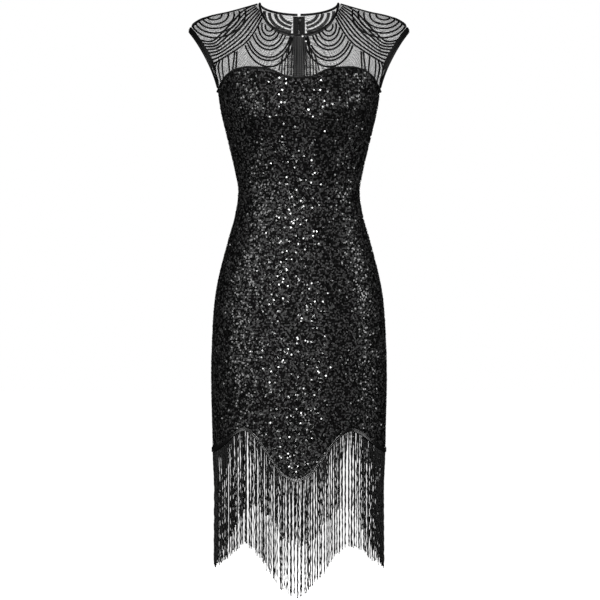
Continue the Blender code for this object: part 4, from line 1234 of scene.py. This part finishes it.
def build_stage():
    """Pale floor, pale surroundings and soft studio lights."""
    bpy.ops.mesh.primitive_plane_add(size=60.0, location=(0, 0, FLOOR_Z))
    floor = bpy.context.object
    floor.name = "floor"
    material, shader = new_material("pale_floor", 0.9, 0.1)
    noise = add_node(material, "TexNoise", Scale=2.0).outputs["Fac"]
    ramp(material, noise, ((0.3, 0.86), (0.7, 0.88)), shader.inputs["Base Color"])
    shader.inputs["Emission Color"].default_value = (1, 1, 1, 1)
    shader.inputs["Emission Strength"].default_value = 1.0
    floor.data.materials.append(material)
    floor.visible_glossy = False
    floor.visible_diffuse = False
    world = bpy.data.worlds.new("studio")
    world.use_nodes = True
    nodes = world.node_tree.nodes
    back = nodes["Background"]
    path = nodes.new("ShaderNodeLightPath")
    strength = nodes.new("ShaderNodeMapRange")
    strength.inputs["To Min"].default_value = 0.02
    strength.inputs["To Max"].default_value = 1.0
    world.node_tree.links.new(path.outputs["Is Camera Ray"], strength.inputs["Value"])
    world.node_tree.links.new(strength.outputs["Result"], back.inputs["Strength"])
    back.inputs["Color"].default_value = (1, 1, 1, 1)
    bpy.context.scene.world = world
    bpy.context.scene.view_settings.view_transform = "Standard"
    area_light("front_light", (-0.30, -4.4, 0.10), 0.36, 85, tall=1.7)
    area_light("low_light", (-0.20, -2.1, -1.30), 0.24, 10, aim=(0.0, 0.0, -0.32), tall=0.34)
    area_light("top_light", (-0.25, -4.3, 1.10), 0.50, 60)
    area_light("left_light", (-3.0, -2.5, -0.3), 1.7, 100, tall=3.2)
    area_light("right_light", (3.0, -1.2, 0.0), 0.9, 65, tall=3.0)
    area_light("back_light", (0.6, 4.6, 0.8), 0.9, 90, tall=2.6)


# Panels and yokes: name, side, hand, node, then width, length and area of the cut
PANELS = (("front", FRONT, 1, "front_panel", (0.44, 0.82, 0.315)),
          ("back_right", BACK, 1, "back_panel_right", (0.235, 0.76, 0.145)),
          ("back_left", BACK, -1, "back_panel_left", (0.235, 0.76, 0.145)))
YOKES = (("front", FRONT, 0, "yoke_front", (0.50, 0.19, 0.057)),
         ("back_right", BACK, 1, "yoke_back_right", (0.25, 0.19, 0.032)),
         ("back_left", BACK, -1, "yoke_back_left", (0.25, 0.19, 0.032)))

KNIT = knit_material()
SEQUINS = [varied_material(*look) for look in SEQUIN_FINISHES_AND_SHADE]
panels = [(build_cloth(name + "_cloth", side, hand, KNIT, node),
           [build_sequins(name + "_sequins", side, hand, SEQUINS)], cut)
          for name, side, hand, node, cut in PANELS]
NET = net_material()
CORD = twisted_material("black_cord", 0.5, 0.12, 260.0, 0.6, (0.0012, 0.0050), 0.6)
yokes = [(build_net(name + "_net", side, hand, NET, node),
          [build_cords(name + "_cords", side, hand, CORD)], cut)
         for name, side, hand, node, cut in YOKES]
BINDING = binding_material()
STRAND = bead_material("strand_beads", 0.0015, 0.42, 0.18)
HEM_BEADS = bead_material("hem_beads", 0.003, 0.22)
build_bindings(BINDING)
build_pipings(BINDING)
build_fringe(FRONT, "fringe_front", STRAND, HEM_BEADS)
build_fringe(BACK, "fringe_back", STRAND, HEM_BEADS)
METAL = metal_material()
TAPE = twisted_material("zip_tape_weave", 0.75, 0.3, 320.0, 0.5, (0.003, 0.013), 0.5)
build_zip(TAPE, bead_material("zip_coil_plastic", 0.008, 0.30))
rounded_copy("zip_slider", METAL, GOWN)
rounded_copy("zip_pull_tab", METAL, PULL)
# The first three beads are white: a painted glint on beads at the bright spots.
build_motif("crystal_beads", MOTIF[:3], varied_material("crystal_beads", 0.3, 0.8, (0.70, 0.90)))
build_motif("jet_beads", MOTIF[3:], bead_material("jet_beads", 0.03, 0.08, 0.9))
# Fan threads: their grey tone is painted sheen on black thread.
yokes[0][1].extend(build_fan(CORD, varied_material("fan_thread", 0.6, 0.2, (0.010, 0.060))))
build_stage()
build_camera()
